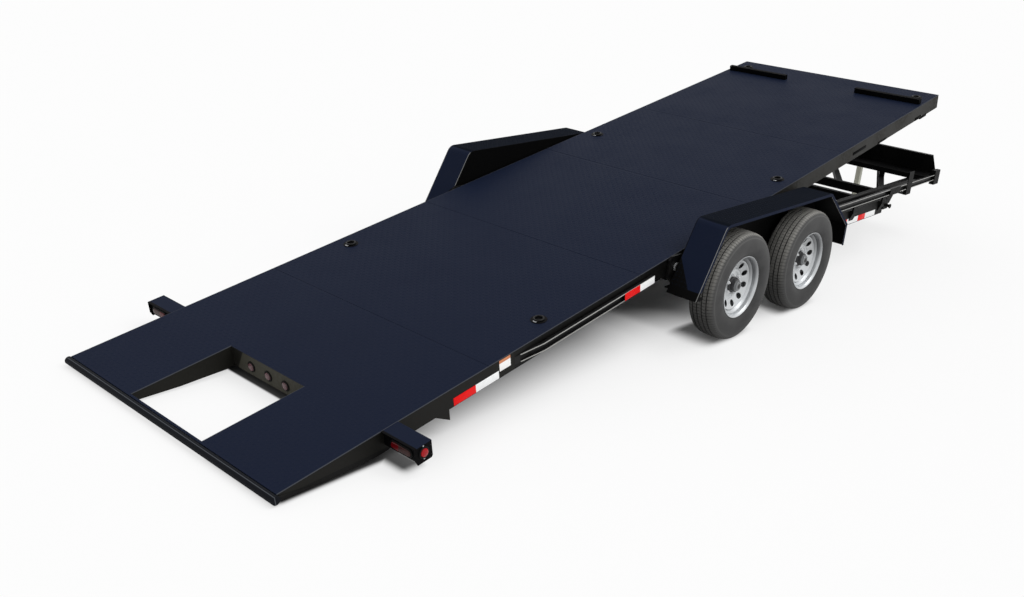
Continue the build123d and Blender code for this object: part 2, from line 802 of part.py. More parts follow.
# Deck sides: channels open inward that taper to the rear bar, with a runner under the taper
side_taper = [(326, 66), (660, 110), (760, deck_depth)]
runner_taper = [(44, 53), (320, 99), (627, tail_depth), (700, tail_depth), (770, deck_depth)]
deck_side_outline = [
    (rear_bar_radius / 2, -deck_plate_gauge),
    (rear_bar_radius / 2, -rear_bar_radius - 10),
    *[(a, -d) for a, d in runner_taper],
    (tail_length - tail_tab_length, -deck_depth),
    (tail_length, -tail_tab_depth),
    (tail_length, -deck_depth),
    (deck_length, -deck_depth),
    (deck_length, -deck_plate_gauge),
]
deck_side_hollow = [
    (130, -deck_plate_gauge - deck_wall),
    *[(a, deck_wall - d) for a, d in side_taper],
    (deck_length - deck_wall, -deck_depth + deck_wall),
    (deck_length - deck_wall, -deck_plate_gauge - deck_wall),
]
with BuildPart() as deck_side:
    with BuildSketch(side(deck, -deck_half)):
        Polygon(*deck_side_outline, align=None)
        with Locations((0, -rear_bar_radius)):
            Circle(rear_bar_radius, mode=Mode.SUBTRACT)
    extrude(amount=-deck_flange)
    with BuildSketch(side(deck, -deck_half + deck_wall)):
        Polygon(*deck_side_hollow, align=None)
    extrude(amount=-deck_flange, mode=Mode.SUBTRACT)
    with BuildSketch(side(deck, -deck_half + deck_wall)):
        box(tail_length - tail_tab_length - 1, tail_length + 1, -tail_tab_depth - 1, -deck_depth)
    extrude(amount=-deck_flange, mode=Mode.SUBTRACT)
    with BuildSketch(side(deck, -boss_y)):
        with Locations((pivot_from_tail, -pivot_depth)):
            Circle(boss_radius)
    extrude(amount=deck_half - boss_y)
    with BuildSketch(side(deck, -boss_y + 1)):
        with Locations((pivot_from_tail, -pivot_depth)):
            Circle(pin_radius + running_clearance)
    extrude(amount=deck_flange, mode=Mode.SUBTRACT)
write(deck_side, "deck_side_right")
write_left(deck_side, "deck_side_left")

notch_front = notch_strip + notch_length
plate_ends = [plate_edge, *deck_seams, deck_length]
with BuildPart() as deck_plates:
    with BuildSketch(deck.offset(-deck_plate_gauge)):
        for near, far in zip(plate_ends[:-1], plate_ends[1:]):
            box(near + (seam_gap if near > plate_edge else 0), far, -deck_half, deck_half)
        with Locations((notch_strip + notch_length / 2, 0)):
            Rectangle(notch_length, notch_width, mode=Mode.SUBTRACT)
    extrude(amount=deck_plate_gauge)
write(deck_plates, "deck_plates")

# Tie-down rings in pairs, each lying on its pan
ring_y = deck_half - ring_inset
ring_pairs = [
    ("rings_rear", ring_rear),
    ("rings_middle", pivot_from_tail + ring_ahead_of_pivot),
    ("rings_front", deck_length - ring_from_front),
]
with BuildPart() as ring_pans:
    with BuildSketch(deck):
        for name, a in ring_pairs:
            with Locations((a, -ring_y), (a, ring_y)):
                Circle(ring_pan_radius)
    extrude(amount=ring_pan_gauge)
write(ring_pans, "tie_down_pans")

for name, a in ring_pairs:
    with BuildPart() as rings:
        for y in (-ring_y, ring_y):
            with Locations(deck.location * Location((a, y, ring_pan_gauge + ring_wire))):
                Torus(ring_radius, ring_wire)
    write(rings, name)

with BuildPart() as rear_bar:
    with BuildSketch(side(deck, 0)):
        with Locations((0, -rear_bar_radius)):
            Circle(rear_bar_radius)
    extrude(amount=deck_half + rear_bar_overhang, both=True)
write(rear_bar, "rear_bar")

# Tail frame: ribs beside the notch and half way to the deck's sides, and the notch's front wall
rib_outline = [
    (rear_bar_radius / 2, -deck_plate_gauge),
    (rear_bar_radius / 2, -rear_bar_radius - 10),
    *[(a, -d) for a, d in runner_taper[:3]],
    (notch_front, -tail_depth),
    (notch_front, -deck_plate_gauge),
]
with BuildPart() as tail_frame:
    for y in (notch_width / 2, deck_half - outer_rib_inset):
        with BuildSketch(side(deck, -y)):
            Polygon(*rib_outline, align=None)
            with Locations((0, -rear_bar_radius)):
                Circle(rear_bar_radius, mode=Mode.SUBTRACT)
        extrude(amount=deck_wall)
    mirror(about=Plane.XZ)
    with BuildSketch(across(deck, notch_front)):
        box(-deck_half + deck_flange, deck_half - deck_flange, -tail_depth, -deck_plate_gauge)
    extrude(amount=deck_wall)
write(tail_frame, "tail_frame")

# Deck crossmembers: one of them carries the cylinder's rod, and the front one clears the inner rails
rod_eye_from_tail = pivot_from_tail + rod_eye_from_pivot
cross_pitch = (rod_eye_from_tail - cross_first) / cross_to_rod
with BuildPart() as deck_crossmembers:
    for i in range(cross_count):
        with BuildSketch(side(deck, 0)):
            with Locations((cross_first + i * cross_pitch, -(deck_plate_gauge + cross_bottom) / 2)):
                channel(cross_width, cross_bottom - deck_plate_gauge, cross_wall, 1)
        extrude(amount=deck_half - deck_flange, both=True)
    with BuildSketch(side(deck, 0)):
        with Locations((deck_length - cross_width / 2, -(deck_plate_gauge + deck_depth) / 2)):
            channel(cross_width, deck_depth - deck_plate_gauge, cross_wall, -1)
    extrude(amount=deck_half - deck_flange, both=True)
    with BuildSketch(across(deck, deck_length)):
        for y in (-rail_y, rail_y):
            with Locations((y, -deck_depth)):
                Rectangle(rail_width + 2 * side_gap, 2 * (deck_depth - cross_bottom))
    extrude(amount=-2 * cross_width, mode=Mode.SUBTRACT)
write(deck_crossmembers, "deck_crossmembers")

with BuildPart() as stop_bars:
    stop_a = deck_length - stop_bar_from_front
    for hand in (-1, 1):
        with BuildSketch(side(deck, hand * (deck_half - stop_bar_inset))):
            with Locations((stop_a, stop_bar_size / 2)):
                RectangleRounded(stop_bar_size, stop_bar_size, 6)
        extrude(amount=stop_bar_length, dir=(0, -hand, 0))
write(stop_bars, "stop_bars")

# Rear rub rails: they leave the deck's side at an angle and run beside it on spacers
rear_rail_end = pivot_from_tail - rear_rail_to_pivot
spacer_count = 4
spacer_length = 40
first_spacer = rear_rail_bend + 80
spacer_pitch = (rear_rail_end - 25 - first_spacer) / (spacer_count - 1)
rail_web_y = rub_rail_inner_y + rub_rail_wall
flare = (rub_rail_y - deck_half) / (rear_rail_bend - rear_rail_start)
with BuildPart() as rear_rub_rails:
    with BuildSketch(deck.offset(-rear_rail_drop - rub_rail_height)):
        Polygon(
            (rear_rail_start, -deck_half),
            (rear_rail_bend, -rub_rail_y),
            (rear_rail_end, -rub_rail_y),
            (rear_rail_end, -rub_rail_inner_y),
            (rear_rail_bend, -rub_rail_inner_y),
            (rear_rail_bend - (rub_rail_inner_y - deck_half) / flare, -deck_half),
            align=None,
        )
    extrude(amount=rub_rail_height)
    with BuildSketch(deck.offset(-rear_rail_drop - rub_rail_height + rub_rail_wall)):
        Polygon(
            (rear_rail_start + 40, -rub_rail_y - 20),
            (rear_rail_start + 40, -deck_half + 10),
            (rear_rail_bend - (rail_web_y - deck_half + 10) / flare, -deck_half + 10),
            (rear_rail_bend, -rail_web_y),
            (rear_rail_end + 10, -rail_web_y),
            (rear_rail_end + 10, -rub_rail_y - 20),
            align=None,
        )
    extrude(amount=rub_rail_height - 2 * rub_rail_wall, mode=Mode.SUBTRACT)
    for i in range(spacer_count):
        with BuildSketch(side(deck, -deck_half)):
            with Locations((first_spacer + i * spacer_pitch, -rear_rail_drop - rub_rail_height / 2)):
                Rectangle(spacer_length, rub_rail_height - 10)
        extrude(amount=rub_rail_inner_y - deck_half)
    mirror(about=Plane.XZ)
write(rear_rub_rails, "rear_rub_rails")

# Lamp brackets out from the deck's sides, and the lamps
bracket_gauge = 5
bracket_outer_y = deck_half + bracket_reach
with BuildPart() as lamp_brackets:
    with BuildSketch(side(deck, -deck_half)):
        box(bracket_rear, bracket_front, -bracket_gauge, 0)
        box(bracket_rear + 15, bracket_rear + 20, -bracket_depth + 15, -bracket_gauge)
    extrude(amount=bracket_outer_y - bracket_gauge - deck_half)
    with BuildSketch(side(deck, -bracket_outer_y + bracket_gauge)):
        Polygon(
            (bracket_rear, 0),
            (bracket_front, 0),
            (bracket_front, -bracket_depth + 10),
            (bracket_front - 10, -bracket_depth),
            (bracket_rear + 14, -bracket_depth),
            (bracket_rear, -bracket_depth + 30),
            align=None,
        )
    extrude(amount=bracket_gauge)
    mirror(about=Plane.XZ)
write(lamp_brackets, "lamp_brackets")

with BuildPart() as tail_lamps:
    with BuildSketch(across(deck, bracket_rear + 15)):
        for y in (-deck_half - tail_lamp_reach, deck_half + tail_lamp_reach):
            with Locations((y, -50)):
                SlotOverall(165, 57)
    extrude(amount=-lamp_height)
write(tail_lamps, "tail_lamps")

with BuildPart() as marker_lamps:
    with BuildSketch(side(deck, -bracket_outer_y)):
        with Locations(((bracket_rear + bracket_front) / 2, -45)):
            Circle(lamp_radius)
    extrude(amount=lamp_height)
    mirror(about=Plane.XZ)
    with BuildSketch(across(deck, notch_front)):
        with GridLocations(wall_lamp_pitch, 0, 3, 1):
            with Locations((0, -73)):
                Circle(lamp_radius)
    extrude(amount=-lamp_height)
write(marker_lamps, "marker_lamps")

# Tilt cylinder: its barrel on lugs under a chassis crossmember, its rod between lugs under the deck
rod_eye = deck.from_local_coords(Vector(rod_eye_from_tail, 0, -rod_eye_depth))
barrel_eye = ground.from_local_coords(Vector(cylinder_x, 0, cylinder_z))
stroke_line = rod_eye - barrel_eye
barrel_end = Plane(barrel_eye, x_dir=(0, 1, 0), z_dir=stroke_line)
rod_end = Plane(rod_eye, x_dir=(0, 1, 0), z_dir=-stroke_line)
lug_y = eye_width / 2 + eye_gap
with BuildPart() as cylinder_lugs:
    for y in (-lug_y, lug_y + lug_gauge):
        with BuildSketch(side(ground, y)):
            Polygon(
                (cylinder_x - 25, beam_top - cross_depth),
                (cylinder_x + 25, beam_top - cross_depth),
                (cylinder_x + 25, cylinder_z),
                (cylinder_x - 25, cylinder_z),
                align=None,
            )
            with Locations((cylinder_x, cylinder_z)):
                Circle(25)
        extrude(amount=lug_gauge)
    with BuildSketch(side(ground, 0)):
        with Locations((cylinder_x, cylinder_z)):
            Circle(lug_pin_radius)
    extrude(amount=lug_y + lug_gauge + 8, both=True)
write(cylinder_lugs, "cylinder_lugs")

with BuildPart() as barrel:
    with BuildSketch(side(ground, 0)):
        with Locations((cylinder_x, cylinder_z)):
            Circle(eye_radius)
    extrude(amount=eye_width / 2, both=True)
    with BuildSketch(barrel_end.offset(barrel_start)):
        Circle(barrel_radius)
    extrude(amount=barrel_length - barrel_start)
    with BuildSketch(barrel_end.offset(20)):
        Rectangle(eye_width, 40)
    extrude(amount=barrel_start - 20)
    with BuildSketch(side(ground, 0)):
        with Locations((cylinder_x, cylinder_z)):
            Circle(lug_pin_radius + running_clearance)
    extrude(amount=eye_width, both=True, mode=Mode.SUBTRACT)
    with BuildSketch(barrel_end.offset(barrel_length)):
        Circle(rod_radius + running_clearance)
    extrude(amount=barrel_start + 20 - barrel_length, mode=Mode.SUBTRACT)
write(barrel, "cylinder_barrel")

with BuildPart() as rod:
    with BuildSketch(rod_end):
        Circle(rod_radius)
    extrude(amount=stroke_line.length - barrel_length + 220)
    with BuildSketch(side(deck, 0)):
        with Locations((rod_eye_from_tail, -rod_eye_depth)):
            Circle(eye_radius)
    extrude(amount=eye_width / 2, both=True)
write(rod, "cylinder_rod")

with BuildPart() as rod_lugs:
    for y in (-lug_y, lug_y + lug_gauge):
        with BuildSketch(side(deck, y)):
            Polygon(
                (rod_eye_from_tail - 25, -cross_bottom),
                (rod_eye_from_tail + 25, -cross_bottom),
                (rod_eye_from_tail + 25, -rod_eye_depth),
                (rod_eye_from_tail - 25, -rod_eye_depth),
                align=None,
            )
            with Locations((rod_eye_from_tail, -rod_eye_depth)):
                Circle(25)
        extrude(amount=lug_gauge)
    for y, amount in ((-lug_y - lug_gauge, 8), (lug_y + lug_gauge, -8)):
        with BuildSketch(side(deck, y)):
            with Locations((rod_eye_from_tail, -rod_eye_depth)):
                Circle(lug_pin_radius + 4)
        extrude(amount=amount)
write(rod_lugs, "rod_lugs")
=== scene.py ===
import json
from math import atan2, cos, pi, radians, sin

import bmesh
import bpy
from mathutils import Matrix, Vector


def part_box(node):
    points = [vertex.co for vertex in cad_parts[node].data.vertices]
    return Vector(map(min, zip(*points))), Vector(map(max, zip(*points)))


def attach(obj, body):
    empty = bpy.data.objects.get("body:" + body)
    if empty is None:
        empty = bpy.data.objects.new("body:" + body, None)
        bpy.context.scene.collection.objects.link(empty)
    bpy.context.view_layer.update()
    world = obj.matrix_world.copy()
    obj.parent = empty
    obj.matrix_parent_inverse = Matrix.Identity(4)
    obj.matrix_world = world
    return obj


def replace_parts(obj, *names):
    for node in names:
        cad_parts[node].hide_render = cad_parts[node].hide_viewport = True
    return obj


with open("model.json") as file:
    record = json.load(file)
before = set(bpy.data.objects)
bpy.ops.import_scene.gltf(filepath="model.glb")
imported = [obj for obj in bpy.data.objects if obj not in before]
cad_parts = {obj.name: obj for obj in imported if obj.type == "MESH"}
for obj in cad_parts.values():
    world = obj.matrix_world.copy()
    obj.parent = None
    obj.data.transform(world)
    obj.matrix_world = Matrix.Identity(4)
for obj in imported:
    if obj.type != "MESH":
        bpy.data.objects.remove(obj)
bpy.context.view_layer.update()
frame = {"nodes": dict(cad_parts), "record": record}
nodes = frame["nodes"]
scene = bpy.context.scene
scene.view_settings.view_transform = "Standard"


# Chassis: welded channel beams that bend together into the tongue, with tube rails and
# crossmembers. Everything is sprayed in one black enamel, which shows slight orange peel and
# a thin film of road dust in patches.
class Shade:
    """A socket in a material's tree; sums and products of two of them add Math nodes."""

    def __init__(self, tree, socket=None):
        self.tree = tree
        self.socket = socket

    def node(self, kind, sockets=None, out=0, stops=None, **settings):
        """Adds a node: its settings and a ramp's stops first, then its sockets' values or links."""
        node = self.tree.nodes.new(kind)
        for name, value in settings.items():
            setattr(node, name, value)
        if stops:
            while len(node.color_ramp.elements) < len(stops):
                node.color_ramp.elements.new(0.5)
            for element, (place, level) in zip(node.color_ramp.elements, stops):
                element.position = place
                element.color = (level, level, level, 1)
        for name, value in (sockets or {}).items():
            if isinstance(value, Shade):
                self.tree.links.new(value.socket, node.inputs[name])
            else:
                node.inputs[name].default_value = value
        return Shade(self.tree, node.outputs[out])

    def math(self, operation, first, second=0.0, third=0.0):
        return self.node("ShaderNodeMath", {0: first, 1: second, 2: third}, operation=operation)

    def __add__(self, other):
        return self.math("ADD", self, other)

    def __radd__(self, other):
        return self.math("ADD", other, self)

    def __sub__(self, other):
        return self.math("SUBTRACT", self, other)

    def __rsub__(self, other):
        return self.math("SUBTRACT", other, self)

    def __mul__(self, other):
        return self.math("MULTIPLY", self, other)

    def __rmul__(self, other):
        return self.math("MULTIPLY", other, self)

    def __abs__(self):
        return self.math("ABSOLUTE", self)

    def most(self, other):
        return self.math("MAXIMUM", self, other)

    def least(self, other):
        return self.math("MINIMUM", self, other)

    def above(self, edge, soft):
        """0 below an edge and 1 above it, with a soft step between."""
        return self.node(
            "ShaderNodeMapRange",
            {"Value": self, "From Min": edge - soft, "From Max": edge + soft},
            interpolation_type="SMOOTHSTEP",
        )

    def below(self, edge, soft):
        """1 below an edge and 0 above it."""
        return 1.0 - self.above(edge, soft)

    def mix(self, low, high):
        """A colour between two, by this value."""
        return self.node("ShaderNodeMix", {0: self, 6: low, 7: high}, out=2, data_type="RGBA")

    def coords(self):
        """Places on the object, in metres."""
        return self.node("ShaderNodeTexCoord", out=3)

    def facing(self):
        """The way that the surface faces."""
        return self.node("ShaderNodeNewGeometry", out=1)

    def axis(self, name):
        """A vector's X, Y or Z."""
        return self.node("ShaderNodeSeparateXYZ", {0: self}, out="XYZ".index(name))

    def noise(self, scale, detail, roughness=0.5):
        """Cloudy noise over these places."""
        sockets = {"Vector": self, "Scale": scale, "Detail": detail, "Roughness": roughness}
        return self.node("ShaderNodeTexNoise", sockets)

    def bump(self, strength, distance):
        """Relief from this height."""
        return self.node("ShaderNodeBump", {"Height": self, "Strength": strength, "Distance": distance})


def new_material(name):
    """A material with a plain Principled shader: the material, its tree's start and its shader node."""
    material = bpy.data.materials.new(name)
    material.use_nodes = True
    tree = material.node_tree
    return material, Shade(tree), tree.nodes["Principled BSDF"]


def connect(shader, **sockets):
    """Links or sets the Principled shader's sockets, named with underscores for spaces."""
    for name, value in sockets.items():
        socket = shader.inputs[name.replace("_", " ")]
        if isinstance(value, Shade):
            value.tree.links.new(value.socket, socket)
        else:
            socket.default_value = value


def paint(*names, material):
    """Gives CAD nodes a finish."""
    for name in names:
        nodes[name].data.materials.clear()
        nodes[name].data.materials.append(material)


def soften(*names, width=0.0012):
    """Rounds the edges of CAD nodes, so that they catch the light as folded and sawn steel does."""
    for name in names:
        weld = nodes[name].modifiers.new("weld", "WELD")
        weld.merge_threshold = 0.00002
        edge = nodes[name].modifiers.new("edge", "BEVEL")
        edge.width = width
        edge.segments = 2
        edge.limit_method = "ANGLE"
        edge.angle_limit = radians(30)
        edge.harden_normals = True


dust_colour = (0.09, 0.083, 0.07, 1)


def enamel(name, colour, roughness, dust, shine=0.2):
    """Sprayed enamel: fine orange peel, cloudy gloss and a film of dust."""
    material, start, shader = new_material(name)
    coords = start.coords()
    cloud = coords.noise(3.1, 5.0)
    film = cloud.above(0.55, 0.18) * coords.noise(47.0, 4.0).above(0.5, 0.2)
    connect(
        shader,
        Base_Color=(film * dust).mix((*colour, 1), dust_colour),
        Roughness=film * (0.03 + 2.5 * dust) + roughness + cloud * 0.05,
        Specular_IOR_Level=shine,
        Normal=coords.noise(260.0, 2.0).bump(0.06, 0.002),
    )
    return material


black_enamel = enamel("black_enamel", (0.0030, 0.0030, 0.0033), 0.42, 0.06, 0.07)
folded_steel = (
    "side_beam_right", "side_beam_left", "inner_rails", "front_sill", "bulkhead", "rail_brackets",
    "guide_posts", "pivot_bearings", "jack_plate", "jack_body", "coupler",
)
soften(*folded_steel)
paint(*folded_steel, "chassis_crossmembers", "fender_stays", "jack_crank", material=black_enamel)
paint("axle_front", "axle_rear", "cylinder_lugs", "cylinder_barrel", material=black_enamel)

# Wheels: a radial tyre with four grooves and siped ribs on a pressed steel wheel, painted silver,
# over a black hub. Six nuts clamp its disc, and a bright dust cap with a rubber plug closes the hub.
def baked(obj):
    """An object's mesh with its modifiers applied; the object itself goes."""
    bpy.context.view_layer.update()
    graph = bpy.context.evaluated_depsgraph_get()
    mesh = bpy.data.meshes.new_from_object(obj.evaluated_get(graph), depsgraph=graph)
    bpy.data.objects.remove(obj)
    return mesh


def placed(name, data):
    """An object in the scene, at the origin."""
    obj = bpy.data.objects.new(name, data)
    scene.collection.objects.link(obj)
    return obj


def piece(name, mesh, material, body, sharp=35):
    """A finished piece at its place, in its finish, riding on a body."""
    mesh.shade_smooth()
    mesh.set_sharp_from_angle(angle=radians(sharp))
    mesh.materials.clear()
    mesh.materials.append(material)
    obj = placed(name, mesh)
    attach(obj, body)
    return obj


def lathe(bm, profile, steps, closed=False):
    """Turns a profile of (radius, distance outward) about the wheel's axis; a radius of 0 is a pole."""
    rings = []
    for radius, out in profile:
        if radius == 0:
            rings.append([bm.verts.new((0, out, 0))] * steps)
            continue
        turns = [2 * pi * i / steps for i in range(steps)]
        rings.append([bm.verts.new((radius * cos(t), out, radius * sin(t))) for t in turns])
    pairs = list(zip(rings, rings[1:]))
    if closed:
        pairs.append((rings[-1], rings[0]))
    for first, second in pairs:
        for i in range(steps):
            j = (i + 1) % steps
            corners = list(dict.fromkeys((first[i], second[i], second[j], first[j])))
            bm.faces.new(corners)


# How far the wheels have rolled, so that their holes stand where they should
wheel_spins = {"rear_right": radians(-7), "front_right": radians(8)}


def to_side(hand):
    """Turns what points left to point to either side."""
    return Matrix.Rotation(0 if hand > 0 else pi, 4, "Z")


def at_wheel(mesh, corner):
    """A copy of a wheel piece's mesh, made about the origin and facing left, at one of the wheels."""
    low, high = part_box(f"tyre_{corner}")
    middle = (low + high) / 2
    copy = mesh.copy()
    spun = Matrix.Rotation(wheel_spins.get(corner, 0), 4, "Y")
    copy.transform(Matrix.Translation(middle) @ spun @ to_side(middle.y))
    return copy


def to_mesh(bm, name, *modifiers):
    """A mesh from a bmesh, with normals outward, after modifiers given as (type, settings)."""
    bmesh.ops.recalc_face_normals(bm, faces=bm.faces)
    mesh = bpy.data.meshes.new(name)
    bm.to_mesh(mesh)
    bm.free()
    if not modifiers:
        return mesh
    obj = placed(name, mesh)
    for kind, settings in modifiers:
        modifier = obj.modifiers.new(kind, kind)
        for key, value in settings.items():
            setattr(modifier, key, value)
    return baked(obj)


tyre_radius = 0.387
groove_half = 0.0050
groove_depth = 0.0085
groove_lean = 0.0012
groove_places = [-0.053, -0.0185, 0.0185, 0.053]
sipe_count = 96
sipe_depth = 0.0050
sipe_slant = 0.35
# The rows of one pitch: where each lies as a share of it, and how far it is cut
sipe_rows = ((0.0, 0.0), (0.78, 0.0), (0.89, 1.0))
tread_half = 0.07
tread_edge = 0.073
crown_drop = 0.0062
shoulder_from = 0.365
shoulder_cut = 0.8
# Half of the tyre's section beside the tread: radius, distance from its middle
tyre_wall = [
    (0.2085, 0.0700), (0.2100, 0.0790), (0.2210, 0.0850), (0.2300, 0.0910), (0.2350, 0.0940),
    (0.2370, 0.0962), (0.2400, 0.0975), (0.2540, 0.1040), (0.2700, 0.1078), (0.2880, 0.1089),
    (0.3060, 0.1083), (0.3230, 0.1062), (0.3370, 0.1034), (0.3450, 0.1012), (0.3470, 0.1017),
    (0.3500, 0.1008), (0.3530, 0.0986), (0.3600, 0.0962), (0.3680, 0.0915), (0.3745, 0.0852),
    (0.3790, 0.0785),
]


def crown(w):
    """The tread's radius at a distance from its middle."""
    return tyre_radius - crown_drop * (w / 0.075) ** 2


tread = [(crown(-tread_edge), -tread_edge, 0.4)]
for place in groove_places:
    before = place - groove_half - 0.0105
    tread.append((crown(before), before, 1.0))
    tread.append((crown(place), place - groove_half, 0.6))
    tread.append((crown(place) - groove_depth, place - groove_half + groove_lean, 0.0))
    tread.append((crown(place) - groove_depth, place + groove_half - groove_lean, 0.0))
    tread.append((crown(place), place + groove_half, 0.6))
tread.append((crown(0.064), 0.064, 1.0))
tread.append((crown(tread_edge), tread_edge, 0.4))
# Radius, distance from the middle, and how deep a sipe cuts there
tyre_section = [
    *[(r, -w, shoulder_cut if r > shoulder_from else 0.0) for r, w in tyre_wall],
    *tread,
    *[(r, w, shoulder_cut if r > shoulder_from else 0.0) for r, w in reversed(tyre_wall)],
]
bm = bmesh.new()
uv = bm.loops.layers.uv.new("tread")
deep = bm.verts.layers.float.new("deep")
pitch = 2 * pi / sipe_count
rows = []
for s in range(sipe_count):
    for share, cut in sipe_rows:
        row = []
        for radius, w, depth in tyre_section:
            slant = sipe_slant * pitch
            if abs(w) < tread_half:
                slant *= abs((w * 30) % 2 - 1)
            turn = pitch * (s + share) + slant
            reach = radius - cut * depth * sipe_depth
            vert = bm.verts.new((reach * cos(turn), w, reach * sin(turn)))
            # How deep each point lies, for the painted shade in the grooves and sipes
            in_groove = abs(w) < tread_half and radius < crown(w) - groove_depth / 2
            vert[deep] = 1.0 if in_groove else cut * depth * 0.8
            row.append(vert)
        rows.append(row)
for i, row in enumerate(rows):
    after = rows[(i + 1) % len(rows)]
    for j in range(len(row) - 1):
        face = bm.faces.new((row[j], after[j], after[j + 1], row[j + 1]))
        for loop, (u, v) in zip(face.loops, ((i, j), (i + 1, j), (i + 1, j + 1), (i, j + 1))):
            loop[uv].uv = (u / len(rows), v / len(row))
    bm.faces.new((row[-1], after[-1], after[0], row[0]))
tyre_mesh = to_mesh(bm, "tyre")

rubber_black = (0.006, 0.006, 0.006, 1)
rubber, start, shader = new_material("tyre_rubber")
coords = start.coords()
around = start.node("ShaderNodeUVMap", uv_map="tread")
round_tyre = around.axis("X")
along = around.axis("Y")
bloom = coords.noise(9.0, 6.0, 0.6)
grain = coords.noise(420.0, 2.0)
ribs = start.math("SINE", along * 900.0)
serration = start.math("SINE", round_tyre * 3600.0) * (along.above(0.75, 0.01) - along.above(0.80, 0.01))
wear_and_highlight = along.above(0.30, 0.02) - along.above(0.70, 0.02)
pale_line = along.above(0.735, 0.006) - along.above(0.765, 0.006)
lower_wall = along.above(0.80, 0.05) * along.below(0.955, 0.01)
wall = (lower_wall * 0.8).mix((0.052, 0.052, 0.052, 1), (0.020, 0.020, 0.021, 1))
base = (bloom.above(0.5, 0.3) * 0.4 + pale_line * 0.6).mix(wall, (0.095, 0.094, 0.092, 1))
height = coords.axis("Z")
# The tread is paler towards its top
paler_top = height.above(tyre_radius + 0.08, 0.30)
tread_tone = paler_top.mix((0.055, 0.054, 0.051, 1), (0.390, 0.382, 0.355, 1))
sunk = start.node("ShaderNodeAttribute", out=2, attribute_name="deep")
rubbed_and_shaded = (wear_and_highlight * (0.4 + bloom * 0.6)).mix(base, tread_tone)
# Painted shade: the wall is painted darker towards the ground, and the grooves and sipes black
painted_low_shade = height.below(0.26, 0.16) * 0.35
rubbed_and_shaded = painted_low_shade.mix(rubbed_and_shaded, rubber_black)
connect(
    shader,
    Base_Color=sunk.mix(rubbed_and_shaded, rubber_black),
    Roughness=bloom * 0.15 + 0.58,
    Specular_IOR_Level=0.35,
    Normal=(grain * 0.3 + ribs * 0.12 + serration * 0.3).bump(0.25, 0.001),
)

# The holes' zone of the disc: its outer and inner radius, and how far out the face stands at each
hole_zone = (0.1665, 0.1135)
hole_zone_out = (0.0373, 0.0154)
# The rim's section all the way round, and the disc's face: radius, distance outward
rim_lip = [
    (0.2210, 0.0862), (0.2208, 0.0895), (0.2185, 0.0902),
    (0.2140, 0.0868), (0.2035, 0.0790), (0.2015, 0.0740),
]
rim_ring = [
    (0.2210, 0.0862), (0.2190, 0.0835), (0.2078, 0.0785), (0.2060, 0.0700), (0.2060, 0.0500),
    (0.1860, 0.0340), (0.1860, -0.0080), (0.2060, -0.0280), (0.2060, -0.0780), (0.2190, -0.0835),
    *[(radius, -out) for radius, out in rim_lip],
    (0.2010, -0.0300), (0.1810, -0.0090), (0.1810, 0.0350), (0.1850, 0.0405), (0.2000, 0.0520),
    *reversed(rim_lip[1:]),
]
disc_face = [
    (0.1806, 0.0220), (0.1806, 0.0350), (0.1795, 0.0385), (0.1765, 0.0405), (0.1730, 0.0406),
    (0.1690, 0.0388), *zip(hole_zone, hole_zone_out), (0.1110, 0.0138), (0.1080, 0.0126),
    (0.1030, 0.0120), (0.0860, 0.0120), (0.0830, 0.0135), (0.0560, 0.0135), (0.0530, 0.0120),
]
hole_middle = 0.1400
hole_radial = 0.0225
hole_across = 0.0210
hole_count = 10
hole_steps = 12
side_steps = 4
rolled_edge = 0.0012


def disc_out(radius):
    """How far out the disc's face stands at a radius in the holes' zone."""
    (high, low), (high_out, low_out) = hole_zone, hole_zone_out
    return low_out + (radius - low) / (high - low) * (high_out - low_out)


bm = bmesh.new()
steps = hole_count * hole_steps
zone = disc_face.index((hole_zone[0], hole_zone_out[0]))
lathe(bm, disc_face[: zone + 1], steps)
lathe(bm, disc_face[zone + 1 :], steps)
sector = 2 * pi / hole_count
for k in range(hole_count):
    edge = []
    for i in range(hole_steps):
        edge.append((hole_zone[0], sector * (k + i / hole_steps)))
    for i in range(side_steps):
        edge.append((hole_zone[0] + (hole_zone[1] - hole_zone[0]) * i / side_steps, sector * (k + 1)))
    for i in range(hole_steps):
        edge.append((hole_zone[1], sector * (k + 1 - i / hole_steps)))
    for i in range(side_steps):
        edge.append((hole_zone[1] + (hole_zone[0] - hole_zone[1]) * i / side_steps, sector * k))
    rings = [[], [], []]
    for radius, turn in edge:
        across = (turn - sector * (k + 0.5)) * hole_middle
        lean = atan2(radius - hole_middle, across)
        reach_r = hole_middle + hole_radial * sin(lean)
        reach_t = sector * (k + 0.5) + hole_across * cos(lean) / hole_middle
        for ring, share in zip(rings, (0, 0.72, 1)):
            r = radius + (reach_r - radius) * share
            t = turn + (reach_t - turn) * share
            sink = rolled_edge if share == 1 else 0.0
            ring.append(bm.verts.new((r * cos(t), disc_out(r) - sink, r * sin(t))))
    for first, second in zip(rings, rings[1:]):
        for i in range(len(edge)):
            j = (i + 1) % len(edge)
            bm.faces.new((first[i], second[i], second[j], first[j]))
bmesh.ops.remove_doubles(bm, verts=bm.verts, dist=0.00005)
disc_mesh = to_mesh(
    bm,
    "wheel_disc",
    ("SOLIDIFY", {"thickness": 0.0055, "offset": -1.0, "use_even_offset": True}),
)
bm = bmesh.new()
lathe(bm, rim_ring, 144, closed=True)
bmesh.ops.recalc_face_normals(bm, faces=bm.faces)
bm.from_mesh(disc_mesh)
rim_mesh = bpy.data.meshes.new("rim")
bm.to_mesh(rim_mesh)
bm.free()

silver, start, shader = new_material("wheel_silver")
coords = start.coords()
flake = coords.noise(900.0, 1.0)
haze = coords.noise(14.0, 5.0)
dusty = haze.above(0.55, 0.2)
